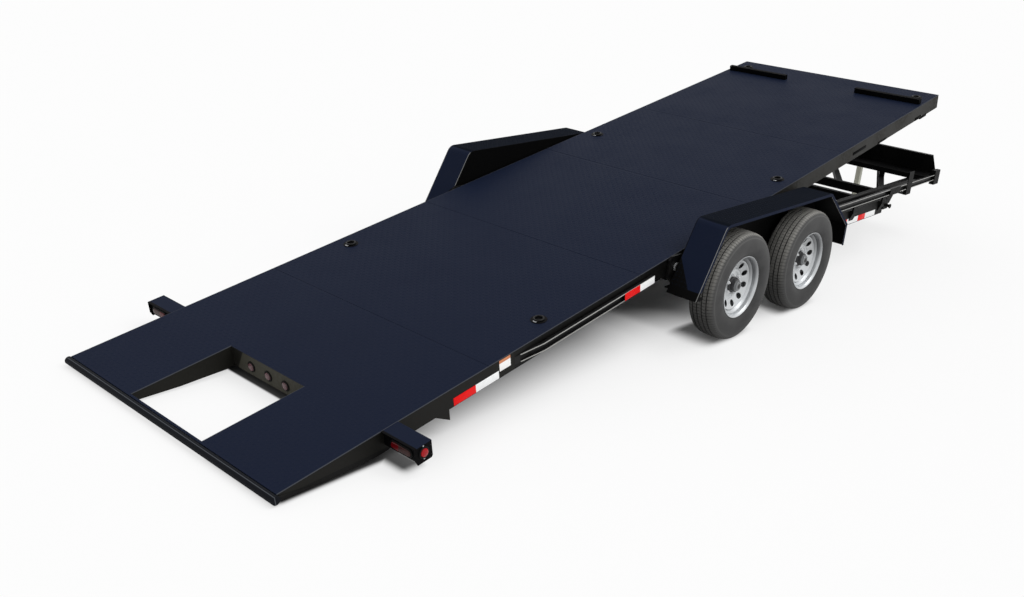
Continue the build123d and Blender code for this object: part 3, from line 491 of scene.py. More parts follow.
# Painted shade: the inside of the rim, which looks away from the sky above and in front, is painted
# darker. Faces that look along the axle are painted lighter, a painted sheen.
normal = start.facing()
from_sky = {0: normal, 1: (-0.5, 0, -0.87)}
shade_facing_away = start.node("ShaderNodeVectorMath", from_sky, out=1, operation="DOT_PRODUCT")
dull = (dusty * 0.5).mix((0.535, 0.555, 0.57, 1), (0.44, 0.445, 0.45, 1))
sheen_facing_out = abs(normal.axis("Y")).above(0.78, 0.15)
dull = (sheen_facing_out * 0.35).mix(dull, (0.78, 0.80, 0.81, 1))
connect(
    shader,
    Base_Color=(shade_facing_away.above(0.45, 0.35) * 0.8).mix(dull, (0.07, 0.07, 0.073, 1)),
    Metallic=0.65 - dusty * 0.2,
    Roughness=flake * 0.08 + haze * 0.1 + 0.27,
    Normal=flake.bump(0.05, 0.0005),
)

hub_line = [
    (0.0, -0.020), (0.148, -0.020), (0.150, -0.018), (0.150, -0.0055), (0.146, 0.0050),
    (0.0565, 0.0060), (0.0565, 0.0200), (0.0550, 0.0230), (0.0500, 0.0250), (0.0475, 0.0270),
    (0.0465, 0.0480), (0.0445, 0.0500), (0.0400, 0.0505), (0.0, 0.0505),
]
cap_line = [
    (0.0395, 0.0480), (0.0395, 0.0540), (0.0370, 0.0560), (0.0350, 0.0565), (0.0340, 0.0640),
    (0.0320, 0.0672), (0.0270, 0.0690), (0.0180, 0.0695), (0.0172, 0.0680), (0.0, 0.0680),
]
plug_line = [
    (0.0165, 0.0660), (0.0165, 0.0700), (0.0150, 0.0714), (0.0080, 0.0719), (0.0, 0.0720),
]
nut_circle = 0.0698
nut_count = 6
nut_seat_out = 0.0133


def turned(name, profile, steps):
    """A mesh turned from a profile."""
    bm = bmesh.new()
    lathe(bm, profile, steps)
    return to_mesh(bm, name)


hub_mesh = turned("hub", hub_line, 96)
cap_mesh = turned("dust_cap", cap_line, 72)
plug_mesh = turned("plug", plug_line, 48)

# Nuts on their studs, made once and repeated round the disc
spread_tree = bpy.data.node_groups.new("spread", "GeometryNodeTree")
interface = spread_tree.interface
interface.new_socket("Places", in_out="INPUT", socket_type="NodeSocketGeometry")
kinds = {"Shape": "NodeSocketObject", "Size": "NodeSocketFloat", "Finish": "NodeSocketMaterial"}
spread_sockets = {}
for name, kind in kinds.items():
    spread_sockets[name] = interface.new_socket(name, in_out="INPUT", socket_type=kind).identifier
interface.new_socket("Repeats", in_out="OUTPUT", socket_type="NodeSocketGeometry")
tree_nodes = spread_tree.nodes
given = tree_nodes.new("NodeGroupInput")
shape_info = tree_nodes.new("GeometryNodeObjectInfo")
turn_of = tree_nodes.new("GeometryNodeInputNamedAttribute")
turn_of.data_type = "FLOAT_VECTOR"
turn_of.inputs["Name"].default_value = "turn"
to_turn = tree_nodes.new("FunctionNodeEulerToRotation")
place_all = tree_nodes.new("GeometryNodeInstanceOnPoints")
realize = tree_nodes.new("GeometryNodeRealizeInstances")
set_finish = tree_nodes.new("GeometryNodeSetMaterial")
result = tree_nodes.new("NodeGroupOutput")
links = [
    (given, "Shape", shape_info, "Object"),
    (given, "Places", place_all, "Points"),
    (shape_info, "Geometry", place_all, "Instance"),
    (turn_of, "Attribute", to_turn, "Euler"),
    (to_turn, "Rotation", place_all, "Rotation"),
    (given, "Size", place_all, "Scale"),
    (place_all, "Instances", realize, "Geometry"),
    (realize, "Geometry", set_finish, "Geometry"),
    (given, "Finish", set_finish, "Material"),
    (set_finish, "Geometry", result, "Repeats"),
]
for source, output, target, taken in links:
    spread_tree.links.new(source.outputs[output], target.inputs[taken])


def spread(name, frames, shape, finish, body):
    """Repeats a small shape about the origin at frames; gives its piece, or its mesh if no body."""
    small = placed(f"{name}_shape", to_mesh(shape, f"{name}_shape"))
    places = bpy.data.meshes.new(name)
    places.from_pydata([f.translation for f in frames], [], [])
    turns = places.attributes.new("turn", "FLOAT_VECTOR", "POINT")
    turns.data.foreach_set("vector", [angle for f in frames for angle in f.to_euler()])
    carrier = placed(name, places)
    repeat = carrier.modifiers.new("repeat", "NODES")
    repeat.node_group = spread_tree
    repeat[spread_sockets["Shape"]] = small
    repeat[spread_sockets["Size"]] = 1.0
    repeat[spread_sockets["Finish"]] = finish
    mesh = baked(carrier)
    bpy.data.objects.remove(small)
    return piece(name, mesh, finish, body) if body else mesh


def stack(shape, rings):
    """Faces between outlines that lie on each other, and across both ends."""
    steps = len(rings[0])
    for first, second in zip(rings, rings[1:]):
        for i in range(steps):
            j = (i + 1) % steps
            shape.faces.new((first[i], first[j], second[j], second[i]))
    shape.faces.new(rings[-1])
    shape.faces.new(list(reversed(rings[0])))


def hexagon_nut(across, height, stud, washer):
    """A nut with a washer under it and a stud's end through it, standing along Z."""
    shape = bmesh.new()
    steps = 24
    flat = pi / 6
    corner = across / 2 / cos(flat)
    # Radius, share of the height, and whether the outline is a hexagon there
    outlines = [
        (washer, 0, False),
        (washer, 0.15, False),
        (corner, 0.15, True),
        (corner, 0.9, True),
        (across * 0.46, 1, True),
        (stud, 1.0, False),
        (stud, 1.35, False),
        (stud * 0.8, 1.45, False),
    ]
    rings = []
    for radius, level, hexagon in outlines:
        ring = []
        for i in range(steps):
            t = 2 * pi * i / steps
            reach = radius * cos(flat) / cos((t % (2 * flat)) - flat) if hexagon else radius
            ring.append(shape.verts.new((reach * cos(t), reach * sin(t), level * height)))
        rings.append(ring)
    stack(shape, rings)
    return shape


zinc, start, shader = new_material("zinc_plate")
coords = start.coords()
spangle = start.node("ShaderNodeTexVoronoi", {"Vector": coords, "Scale": 160.0}, out=1)
grey = spangle.axis("X")
cloud = coords.noise(22.0, 5.0)
connect(
    shader,
    Base_Color=(grey * 0.4 + cloud * 0.5).mix((0.45, 0.46, 0.47, 1), (0.66, 0.67, 0.68, 1)),
    Metallic=0.85 - cloud * 0.15,
    Roughness=grey * 0.12 + cloud * 0.2 + 0.28,
)

nut_turns = [2 * pi * (i + 0.5) / nut_count for i in range(nut_count)]
stand_out = Matrix.Rotation(-pi / 2, 4, "X")
nut_places = [(nut_circle * cos(t), nut_seat_out, nut_circle * sin(t)) for t in nut_turns]
nut_frames = [Matrix.Translation(spot) @ stand_out for spot in nut_places]
wheel_nut = hexagon_nut(across=0.0205, height=0.015, stud=0.0062, washer=0.0125)
nuts_mesh = spread("wheel_nuts", nut_frames, wheel_nut, zinc, None)
chrome, start, shader = new_material("chrome")
coords = start.coords()
hair = coords.noise(60.0, 4.0)
connect(shader, Base_Color=(0.72, 0.73, 0.75, 1), Metallic=1.0, Roughness=hair * 0.12 + 0.08)
hub_grey = enamel("hub_grey", (0.026, 0.026, 0.028), 0.35, 0.15, 0.4)
plug_rubber = enamel("plug_rubber", (0.045, 0.045, 0.045), 0.55, 0.2)


def plain_metal(name, scale, dark, pale, metallic, roughness):
    """Metal, bare or painted, whose tone and polish vary a little."""
    material, start, shader = new_material(name)
    haze = start.coords().noise(scale, 4.0)
    connect(shader, Base_Color=haze.mix(dark, pale), Metallic=metallic, Roughness=haze * 0.15 + roughness)
    return material


cap_grey = plain_metal("cap_grey", 40.0, (0.16, 0.165, 0.17, 1), (0.26, 0.265, 0.27, 1), 0.8, 0.22)
nut_silver = plain_metal("nut_silver", 90.0, (0.60, 0.61, 0.62, 1), (0.78, 0.79, 0.80, 1), 0.2, 0.3)

for corner in ("front_right", "front_left", "rear_right", "rear_left"):
    body = f"wheel_{corner}"
    tyre = piece(f"tyre_{corner}_tread", at_wheel(tyre_mesh, corner), rubber, body, sharp=28)
    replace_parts(tyre, f"tyre_{corner}")
    rim = piece(f"rim_{corner}_disc", at_wheel(rim_mesh, corner), silver, body, sharp=32)
    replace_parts(rim, f"rim_{corner}")
    hub = piece(f"hub_{corner}_drum", at_wheel(hub_mesh, corner), hub_grey, body)
    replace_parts(hub, f"hub_{corner}")
    piece(f"dust_cap_{corner}", at_wheel(cap_mesh, corner), cap_grey, body)
    piece(f"hub_plug_{corner}", at_wheel(plug_mesh, corner), plug_rubber, body)
    piece(f"wheel_nuts_{corner}", at_wheel(nuts_mesh, corner), nut_silver, body)


# Fenders: folded treadplate over each pair of wheels, with a lip down their outer edge. The raised
# lugs stand in rows across and along; the plate and the deck's are sprayed in the same dark blue.
def lug_shape():
    """One raised lug of treadplate along X, with its ridge and sloping ends."""
    shape = bmesh.new()
    tip, shoulder, half_width = 0.0125, 0.0085, 0.0030
    foot = [(-tip, 0), (-shoulder, -half_width), (shoulder, -half_width)]
    foot += [(-x, -y) for x, y in foot]
    ridge = [(-0.0075, 0), (0.0075, 0)]
    verts = [shape.verts.new((x, y, -0.0002)) for x, y in foot]
    verts += [shape.verts.new((x, y, 0.0010)) for x, y in ridge]
    for corners in ((0, 1, 6), (1, 2, 7, 6), (2, 3, 7), (3, 4, 7), (4, 5, 6, 7), (5, 0, 6)):
        shape.faces.new([verts[i] for i in corners])
    return shape


lug_pitch = 0.0285


def lug_frames(plate, length, width, keep):
    """Frames for lugs on a plate that runs along its X from 0, to both sides of its middle."""
    frames = []
    across = int(width / lug_pitch)
    for i in range(int(length / lug_pitch)):
        for j in range(across):
            x = (i + 0.5) * lug_pitch
            y = (j - (across - 1) / 2) * lug_pitch
            if keep(x, y):
                turn = radians(45 if (i + j) % 2 else -45)
                frames.append(plate @ Matrix.Translation((x, y, 0)) @ Matrix.Rotation(turn, 4, "Z"))
    return frames


deck_blue = enamel("deck_blue", (0.0082, 0.0124, 0.0285), 0.475, 0.025, 0.026)
deck_joint = next(j for j in frame["record"]["behaviour"]["joints"] if j["name"] == "deck_tilt")
pivot = Vector(deck_joint["pos_m"])
tandem_x = pivot.x + 0.95
# The fenders' lower inner corner at the back, which is painted black as shade: where its slant starts,
# and how steep it is
corner_from_y = 1.060
corner_height = 0.640
corner_slope = 1.2
corner_foot = 0.468
fender_edge_y = abs(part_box("fender_right")[0].y)


def copied(name, outer):
    """A copy of a finish: the material, its tree's start and its shader node."""
    material = outer.copy()
    material.name = name
    return material, Shade(material.node_tree), material.node_tree.nodes["Principled BSDF"]


def linked(start, shader, name):
    """What already feeds one of a shader's sockets."""
    return Shade(start.tree, shader.inputs[name].links[0].from_socket)


def inside_black(name, outer, skirt_y):
    """A copy of a paint with painted shade: black on the fender's skirt and under its folds."""
    material, start, shader = copied(name, outer)
    coords = start.coords()
    facing = start.facing()
    facing_up = facing.axis("Z")
    facing_side = abs(facing.axis("Y"))
    facing_rear = 0.0 - facing.axis("X")
    across = abs(coords.axis("Y"))
    # Painted shade: the skirt, the faces under the folds and those to the back are painted black
    skirt = across.below(skirt_y, 0.0005)
    under = (0.0 - facing_up).above(0.04, 0.02) + facing_rear.above(0.93, 0.02)
    painted_shade_black = skirt.most(under.least(facing_side.below(0.5, 0.05)))
    # Painted shade: low down at the back the sheet is painted black too, on a slant beside the
    # pivot's bearing
    height = coords.axis("Z")
    slant = 1.0 - (height + (across - corner_from_y) * corner_slope).above(corner_height, 0.001)
    painted_low_shade = slant.most(height.below(corner_foot, 0.001))
    behind = 1.0 - coords.axis("X").above(tandem_x - 0.5, 0.01)
    painted_shade_black = painted_shade_black.most(painted_low_shade * behind)
    # Painted shade: the top faces are painted darker
    top = facing_up.above(0.9, 0.05)
    painted = linked(start, shader, "Base Color")
    rough = linked(start, shader, "Roughness")
    # Painted highlights along the edges of the rear slope
    near_inner = 1.0 - abs(across - (skirt_y + 0.0025)).above(0.0025, 0.0008)
    near_outer = across.above(fender_edge_y - 0.0045, 0.0008) * facing_side.below(0.75, 0.05)
    slope = facing_rear.above(0.5, 0.1) * facing_rear.below(0.93, 0.02)
    # and along the left fender's inner edge too
    on_left = coords.axis("Y").above(0.0, 0.01)
    wear_and_highlight = (near_inner * on_left * (1.0 - painted_low_shade)).most(near_outer) * slope
    shaded_top_colour = (top * 0.80).mix(painted, (0.0035, 0.0045, 0.0058, 1))
    colour = painted_shade_black.mix(shaded_top_colour, (0.003, 0.003, 0.003, 1))
    connect(shader, Base_Color=(wear_and_highlight * 0.7).mix(colour, (0.36, 0.36, 0.35, 1)))
    connect(shader, Roughness=rough + top * 0.5)
    return material


fender_blue = inside_black("fender_blue", deck_blue, 1.0645)
paint("fender_right", "fender_left", material=fender_blue)
# Ends of the fender's flats as seen from the side: x from the middle of the axles, height
fender_line = [(-1.0765, 0.415), (-0.8065, 0.889), (0.6675, 0.889), (1.0345, 0.590), (1.0345, 0.415)]
fender_inner_y = 1.060
fender_outer_y = 1.295
fender_bend = 0.045
lug_sink = 0.0007


def between(low, high):
    """Keeps the lugs between two bends."""
    return lambda x, y: low < x < high


frames = []
for hand in (-1, 1):
    middle_y = hand * (fender_inner_y + fender_outer_y) / 2
    for (x0, z0), (x1, z1) in zip(fender_line, fender_line[1:]):
        run = Vector((x1 - x0, 0, z1 - z0))
        rise = Matrix.Rotation(-atan2(z1 - z0, x1 - x0), 4, "Y")
        start_of_flat = Matrix.Translation((tandem_x + x0, middle_y, z0))
        plate = start_of_flat @ rise @ Matrix.Translation((0, 0, -lug_sink))
        on_flat = between(fender_bend, run.length - fender_bend)
        frames += lug_frames(plate, run.length, fender_outer_y - fender_inner_y - 0.006, on_flat)
soften("fender_right", "fender_left", width=0.0018)
spread("fender_lugs", frames, lug_shape(), deck_blue, "chassis")

# Deck: treadplate sheets on crossmembers between two side channels, in the same dark blue on top.
# The tail has a notch between its ribs, and the sheets' seams are left open.
tilt = radians(deck_joint["range_deg"][1])
pivot_from_tail = 3.239
pivot_under_top = 0.079
deck_half = 1.007
deck_length = 7.425
# The deck's own frame runs along it from the tail, and up through it
deck_turn = Matrix.Rotation(-tilt, 4, "Y")
deck_tail = pivot + deck_turn @ Vector((-pivot_from_tail, 0, pivot_under_top))
deck_frame = Matrix.Translation(deck_tail) @ deck_turn
notch_from = 0.030
notch_to = 0.684
notch_half = 0.350
edge_clear = 0.012
ring_clear = 0.064
# The stop bars: their middle along the deck, half their width, and from where to where they run
stop_at, stop_half = 7.085, 0.034
stop_from_y, stop_to_y = 0.348, 0.993
seams = (1.466, 2.877, 4.270, 5.600)
pans = [(a, y) for a in (2.035, 4.797, 7.235) for y in (-0.877, 0.877)]


def on_sheet(x, y):
    """True where a lug stands clear of the notch, the seams, the ring pans and the stop bars."""
    if x < notch_from or x > deck_length - edge_clear:
        return False
    if notch_from - edge_clear < x < notch_to + edge_clear and abs(y) < notch_half + edge_clear:
        return False
    if any(abs(x - seam) < edge_clear for seam in seams):
        return False
    if abs(x - stop_at) < stop_half and stop_from_y < abs(y) < stop_to_y:
        return False
    return all((x - a) ** 2 + (y - b) ** 2 > ring_clear**2 for a, b in pans)


frames = lug_frames(deck_frame, deck_length, 2 * deck_half, on_sheet)
spread("deck_lugs", frames, lug_shape(), deck_blue, "deck")


def deck_place(a, y, up):
    """A frame at a place along the deck, across it and up from its top."""
    return deck_frame @ Matrix.Translation((a, y, up))


def on_deck(start):
    """Places on the deck for a material: along it from the tail, across to either side, and down."""
    coords = start.coords()
    x, y, z = (coords.axis(name) for name in "XYZ")
    along_deck = (x - deck_tail.x) * cos(tilt) + (z - deck_tail.z) * sin(tilt)
    down = (x - deck_tail.x) * sin(tilt) - (z - deck_tail.z) * cos(tilt)
    return along_deck, abs(y), down


def painted_light_copy(name, outer, mask, colour):
    """A copy of a paint with another colour, for painted shade and painted highlights, where a mask,
    made from places on the deck, is 1.
    """
    material, start, shader = copied(name, outer)
    painted = linked(start, shader, "Base Color")
    connect(shader, Base_Color=mask(*on_deck(start)).mix(painted, colour))
    return material


def plate_edges(along_deck, across, down):
    """A painted highlight along the sheets' edges at the sides and beside the notch."""
    beside_notch = along_deck.above(notch_from, 0.001) * along_deck.below(notch_to, 0.001)
    at_notch = across.below(notch_half + 0.0035, 0.0008)
    return across.above(deck_half - 0.003, 0.0008).most(beside_notch * at_notch) * 0.4


def side_shade(along_deck, across, down):
    """The sides where they lie in shade: the runner below, beside the rub rail, and at the tail."""
    runner = (down - along_deck * 0.1317).above(0.0235, 0.0008) * along_deck.below(0.72, 0.01)
    beside_rail = along_deck.above(1.665, 0.01) * along_deck.below(3.3, 0.02)
    tail_part = along_deck.below(1.665, 0.01) * 0.5
    return runner.most(beside_rail).most(tail_part) * 0.9


def notch_shade(along_deck, across, down):
    """Painted shade on the notch's side walls and on the slanting end of its front wall on the left."""
    left = across.coords().axis("Y")
    recess = (left - down * 0.6).above(0.235, 0.004)
    return along_deck.below(notch_to - 0.012, 0.003).most(recess) * 0.85


def bar_highlight(along_deck, across, down):
    """A painted highlight along the rear bar's upper edge."""
    return 1.0 - abs(along_deck + 0.006).above(0.0022, 0.0008)


def bracket_rear(along_deck, across, down):
    """Painted shade: the bracket's faces to the back, to the side and below are painted black."""
    return down.above(0.0020, 0.0005).most(along_deck.below(0.6805, 0.0005))


deck_top = painted_light_copy("deck_top", deck_blue, plate_edges, (0.13, 0.135, 0.14, 1))
paint("deck_plates", material=deck_top)
side_black = enamel("side_black", (0.0105, 0.0100, 0.0082), 0.42, 0.10, 0.12)
side_zones = painted_light_copy("side_zones", side_black, side_shade, (0.0010, 0.0010, 0.0010, 1))
tail_plain = enamel("tail_plain", (0.055, 0.053, 0.041), 0.5, 0.1, 0.1)
tail_olive = painted_light_copy("tail_olive", tail_plain, notch_shade, (0.0035, 0.0035, 0.0033, 1))
bar_plain = enamel("bar_plain", (0.0062, 0.0070, 0.0100), 0.45, 0.04, 0.04)
bar_black = painted_light_copy("bar_black", bar_plain, bar_highlight, (0.070, 0.075, 0.085, 1))
stop_black = enamel("stop_black", (0.0015, 0.0015, 0.0018), 0.5, 0.02, 0.02)
bracket_paint = painted_light_copy("bracket_paint", deck_blue, bracket_rear, (0.0025, 0.0025, 0.0028, 1))
paint("deck_side_right", "deck_side_left", material=side_zones)
paint("deck_crossmembers", "rod_lugs", material=side_black)
paint("tail_frame", material=tail_olive)
paint("rear_bar", material=bar_black)
paint("stop_bars", material=stop_black)
paint("lamp_brackets", material=bracket_paint)
jack_zinc = enamel("jack_zinc", (0.52, 0.52, 0.43), 0.35, 0.1, 0.5)
paint("jack_leg", material=jack_zinc)
paint("pivot_pins", material=zinc)
paint("cylinder_rod", material=chrome)
ring_black = enamel("ring_black", (0.0045, 0.0045, 0.005), 0.3, 0.05, 0.15)
paint("rings_front", "rings_middle", "rings_rear", material=ring_black)
pan_black = enamel("pan_black", (0.0020, 0.0020, 0.0025), 0.5, 0.03, 0.05)
paint("tie_down_pans", material=pan_black)
soften("deck_side_right", "deck_side_left", "lamp_brackets", "stop_bars", "tie_down_pans")
soften("deck_plates", width=0.0008)

# Rub rails: channels that open outward. The lips' edges are painted pale as bright lines, a painted
# highlight, also along the flares where the rear rails leave the deck's sides.
rail_half = 1.040
flare_from = 1.674
flare_to = 1.900
lip_highlight_width = 0.0040
rail_black, start, shader = new_material("rail_black")
coords = start.coords()
along_deck, across, down = on_deck(start)
on_flare = (along_deck - flare_from) * ((rail_half - deck_half) / (flare_to - flare_from)) + deck_half
edge_y = on_flare.most(deck_half + 0.006).least(rail_half)
from_edge = abs(across - edge_y)
patchiness = coords.noise(18.0, 6.0)
# Painted highlight along the lips' edges, patchy
lip_highlight = from_edge.below(lip_highlight_width, 0.001) * (0.7 + patchiness * 0.5)
lip_highlight = lip_highlight * along_deck.above(flare_from + 0.045, 0.003)
connect(
    shader,
    Base_Color=lip_highlight.mix((0.0040, 0.0040, 0.0045, 1), (0.46, 0.46, 0.44, 1)),
    Roughness=patchiness * 0.2 + 0.3,
    Metallic=lip_highlight * 0.3,
    Specular_IOR_Level=0.2,
)
paint("front_rub_rails", "rear_rub_rails", material=rail_black)


def slab(name, place, size, finish, body, round_by=0.0006):
    """A block at a place, of a size along the place's axes, with slightly rounded edges."""
    bm = bmesh.new()
    bmesh.ops.create_cube(bm, size=1, matrix=Matrix.Diagonal((*size, 1)))
    mesh = to_mesh(bm, name, ("BEVEL", {"width": round_by, "segments": 2}))
    mesh.transform(place)
    return piece(name, mesh, finish, body)


# Tapes and a blank decal, stuck flat on the steel of both sides. The tapes' moulded prisms show
# as a fine net in them.
def prisms_of(coords, scale):
    """Small moulded prisms: the distance to the edge of each."""
    sockets = {"Vector": coords, "Scale": scale}
    return coords.node("ShaderNodeTexVoronoi", sockets, feature="DISTANCE_TO_EDGE")


def tape(name, colour, net):
    """A tape's face: its colour, the net's strength in it, and a little grime."""
    material, start, shader = new_material(name)
    coords = start.coords()
    cells = prisms_of(coords, 190.0)
    grime = coords.noise(25.0, 5.0)
    seam = cells.below(0.08, 0.05) * net + grime.above(0.6, 0.1) * 0.15
    darker = tuple(c * 0.55 for c in colour)
    connect(
        shader,
        Base_Color=seam.mix((*colour, 1), (*darker, 1)),
        Roughness=0.3 + grime * 0.15,
        Specular_IOR_Level=0.1,
    )
    return material


tape_red = tape("tape_red", (0.86, 0.006, 0.006), 0.4)
tape_white = tape("tape_white", (0.95, 0.96, 0.96), 0.15)
decal_white = tape("decal_white", (0.95, 0.94, 0.93), 0.0)
decal_band = tape("decal_band", (0.62, 0.24, 0.12), 0.0)
tape_gauge = 0.0008
sides = ((-1, "right"), (1, "left"))


def stuck_on(name, base, spans, low, high, out, body):
    """Strips along a side, on both sides of the trailer: spans of (from, to, finish)."""
    for hand, side_name in sides:
        for k, (near, far, finish) in enumerate(spans):
            middle = Vector(((near + far) / 2, hand * (out + tape_gauge / 2), (low + high) / 2))
            place = base @ Matrix.Translation(middle)
            size = (far - near, tape_gauge, high - low)
            slab(f"{name}_{side_name}_{k}", place, size, finish, body, 0.0002)


chassis_frame = Matrix.Translation((tandem_x, 0, 0))
side_spans = [(1.180, 1.353, tape_red), (1.353, 1.540, tape_white)]
decal_span = (1.548, 1.640)
stuck_on("side_tape", deck_frame, side_spans, -0.1165, -0.0665, deck_half, "deck")
stuck_on("decal", deck_frame, [(*decal_span, decal_white)], -0.077, -0.027, deck_half, "deck")
stuck_on("decal_band", deck_frame, [(*decal_span, decal_band)], -0.027, -0.007, deck_half, "deck")
rail_spans = [(2.670, 2.830, tape_red), (2.830, 2.985, tape_white)]
stuck_on("rail_tape", deck_frame, rail_spans, -0.092, -0.042, rail_half, "deck")
beam_half = 1.000
front_spans = [
    (1.540, 1.700, tape_red), (1.700, 1.910, tape_white), (1.910, 2.050, tape_red),
    (2.050, 2.250, tape_white),
]
stuck_on("beam_tape", chassis_frame, front_spans, 0.390, 0.440, beam_half, "chassis")


# Small fittings: a bright staple holds each ring at its tail side, and black clips and a catch
# with a bright screw hang on the sides near the front.
for k, (a, y) in enumerate(pans):
    slab(f"ring_staple_{k}", deck_place(a - 0.036, y, 0.002), (0.013, 0.026, 0.006), zinc, "deck", 0.0015)
# Clips on the sides: from and to along the deck, then their top and bottom under its top
clips = [(6.955, 7.070, 0.092, 0.119), (6.240, 6.390, 0.104, 0.1205), (5.780, 6.010, 0.058, 0.082)]
screw_frames = []
for hand, side_name in sides:
    for k, (near, far, top, bottom) in enumerate(clips):
        spot = deck_place((near + far) / 2, hand * (deck_half + 0.001), -(top + bottom) / 2)
        size = (far - near, 0.002, bottom - top)
        slab(f"side_clip_{side_name}_{k}", spot, size, stop_black, "deck")
    spot = deck_place(7.130, hand * 0.989, -0.121)
    slab(f"side_catch_{side_name}", spot, (0.130, 0.040, 0.026), stop_black, "deck", 0.004)
    outward = to_side(hand) @ stand_out
    screw_frames.append(deck_place(7.085, hand * (deck_half + 0.002), -0.100) @ outward)
catch_screw = hexagon_nut(across=0.010, height=0.003, stud=0.002, washer=0.007)
spread("catch_screws", screw_frames, catch_screw, cap_grey, "deck")


# Lamps: a ribbed red lens in a black rubber grommet on each bracket's side and three in the tail's
# wall, and an oblong tail lamp at the back of each bracket, part red and part clear.
def lens(name, base, glow, coat):
    """Moulded lamp plastic: a deep colour, a polished face and fine prisms below it."""
    material, start, shader = new_material(name)
    coords = start.coords()
    prisms = prisms_of(coords, 420.0)
    shade = coords.noise(30.0, 3.0)
    dark = tuple(c * 0.45 for c in base[:3]) + (1,)
    connect(
        shader,
        Base_Color=(prisms.above(0.12, 0.1) * 0.7 + shade * 0.3).mix(dark, base),
        Roughness=shade * 0.1 + 0.08,
        Specular_IOR_Level=coat,
        Coat_Weight=coat,
        Coat_Roughness=0.04,
        Emission_Color=base,
        Emission_Strength=glow,
        Normal=prisms.bump(0.15, 0.0008),
    )
    return material


red_lens = lens("red_lens", (0.45, 0.004, 0.008, 1), 0.03, 0.15)
wall_lens = lens("wall_lens", (0.16, 0.075, 0.085, 1), 0.02, 0.3)
tail_red = lens("tail_red", (0.14, 0.002, 0.005, 1), 0.02, 0.15)
tail_clear = lens("tail_clear", (0.060, 0.022, 0.020, 1), 0.0, 0.1)
grommet = enamel("grommet", (0.0030, 0.0030, 0.0030), 0.5, 0.03, 0.1)
# The lamps' places: along the deck, out from its middle and up from its top
bracket_middle_a = 0.724
marker_out_y = 1.260
marker_up = -0.045
lamp_steps = 64


def lathe_at(name, profile, place, finish):
    """A turned piece: its profile is (radius, height) along the place's own Y."""
    mesh = turned(name, profile, lamp_steps)
    mesh.transform(place)
    return piece(name, mesh, finish, "deck")


grommet_line = [
    (0.0, 0.0), (0.0340, 0.0), (0.0340, 0.0035), (0.0325, 0.0060), (0.0265, 0.0070),
    (0.0240, 0.0045), (0.0, 0.0045),
]
lens_line = [
    (0.0, 0.0030), (0.0238, 0.0030), (0.0238, 0.0070), (0.0225, 0.0100), (0.0180, 0.0123),
    (0.0100, 0.0136), (0.0, 0.0139),
]
marker_places = []
for hand, name in sides:
    spot = deck_place(bracket_middle_a, hand * marker_out_y, marker_up)
    marker_places.append((name, spot @ to_side(hand)))
for k, y in enumerate((-0.164, 0.0, 0.164)):
    place = deck_place(notch_to, y, -0.073) @ Matrix.Rotation(pi / 2, 4, "Z")
    marker_places.append((f"tail_{k}", place))
for name, place in marker_places:
    glass = wall_lens if name.startswith("tail") else red_lens
    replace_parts(lathe_at(f"marker_grommet_{name}", grommet_line, place, grommet), "marker_lamps")
    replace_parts(lathe_at(f"marker_lens_{name}", lens_line, place, glass), "marker_lamps")


def oblong(name, place, levels, finish, keep=None):
    """A stack of oblong outlines, each given as (length, height, how far out), closed at both ends.

    With keep, a place and a side of it along X, only that side is kept.
    """
    bm = bmesh.new()
    rings = []
    for length, height, out in levels:
        ring = []
        radius = height / 2
        for i in range(lamp_steps):
            turn = 2 * pi * (i + 0.5) / lamp_steps
            shift = (length / 2 - radius) * (1 if cos(turn) > 0 else -1)
            ring.append(bm.verts.new((shift + radius * cos(turn), radius * sin(turn), out)))
        rings.append(ring)
    stack(bm, rings)
    if keep:
        geom = [*bm.verts, *bm.edges, *bm.faces]
        cut = {"plane_co": (keep[0], 0, 0), "plane_no": (keep[1], 0, 0)}
        bmesh.ops.bisect_plane(bm, geom=geom, clear_inner=True, **cut)
        rim_edges = [e for e in bm.edges if e.is_boundary]
        bmesh.ops.contextual_create(bm, geom=rim_edges)
    mesh = to_mesh(bm, name)
    mesh.transform(place)
    return piece(name, mesh, finish, "deck", sharp=30)


seat_levels = [
    (0.165, 0.057, 0.0), (0.165, 0.057, 0.005), (0.160, 0.052, 0.008), (0.150, 0.042, 0.008),
    (0.148, 0.040, 0.004),
]
glass_levels = [
    (0.146, 0.038, 0.003), (0.146, 0.038, 0.009), (0.141, 0.033, 0.0125), (0.126, 0.018, 0.0138),
]
# Seen from behind, the lamp's own X runs outward on the right and inward on the left
out_of_plate = Matrix(((0, 0, -1), (-1, 0, 0), (0, 1, 0))).to_4x4()
red_from = 0.012
for hand, side_name in sides:
    place = deck_place(0.680, hand * 1.145, -0.050) @ out_of_plate
    seat = oblong(f"tail_lamp_seat_{side_name}", place, seat_levels, grommet)
    split_at = red_from * hand
    red = oblong(f"tail_lamp_red_{side_name}", place, glass_levels, tail_red, (split_at, hand))
    clear = oblong(f"tail_lamp_clear_{side_name}", place, glass_levels, tail_clear, (split_at, -hand))
    for part in (seat, red, clear):
        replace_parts(part, "tail_lamps")

# Screws hold the marker lamps on the brackets
screw_frames = []
for hand in (-1, 1):
    for height in (-0.008, -0.083):
        spot = deck_place(bracket_middle_a, hand * marker_out_y, height)
        screw_frames.append(spot @ (to_side(hand) @ stand_out))
marker_screw = hexagon_nut(across=0.0062, height=0.0025, stud=0.0014, washer=0.0046)
spread("marker_screws", screw_frames, marker_screw, zinc, "deck")

# Floor and light: a white floor under an even white sky, a broad soft sun from above and the camera
# at the tail's corner. The floor's own glow, for the camera only, keeps the shadows pale, except in a
# painted shadow under the trailer and round the tyres' feet, where the glow is left out.
floor_radius = 400.0
floor_glow = 0.70
sky_light = 0.62
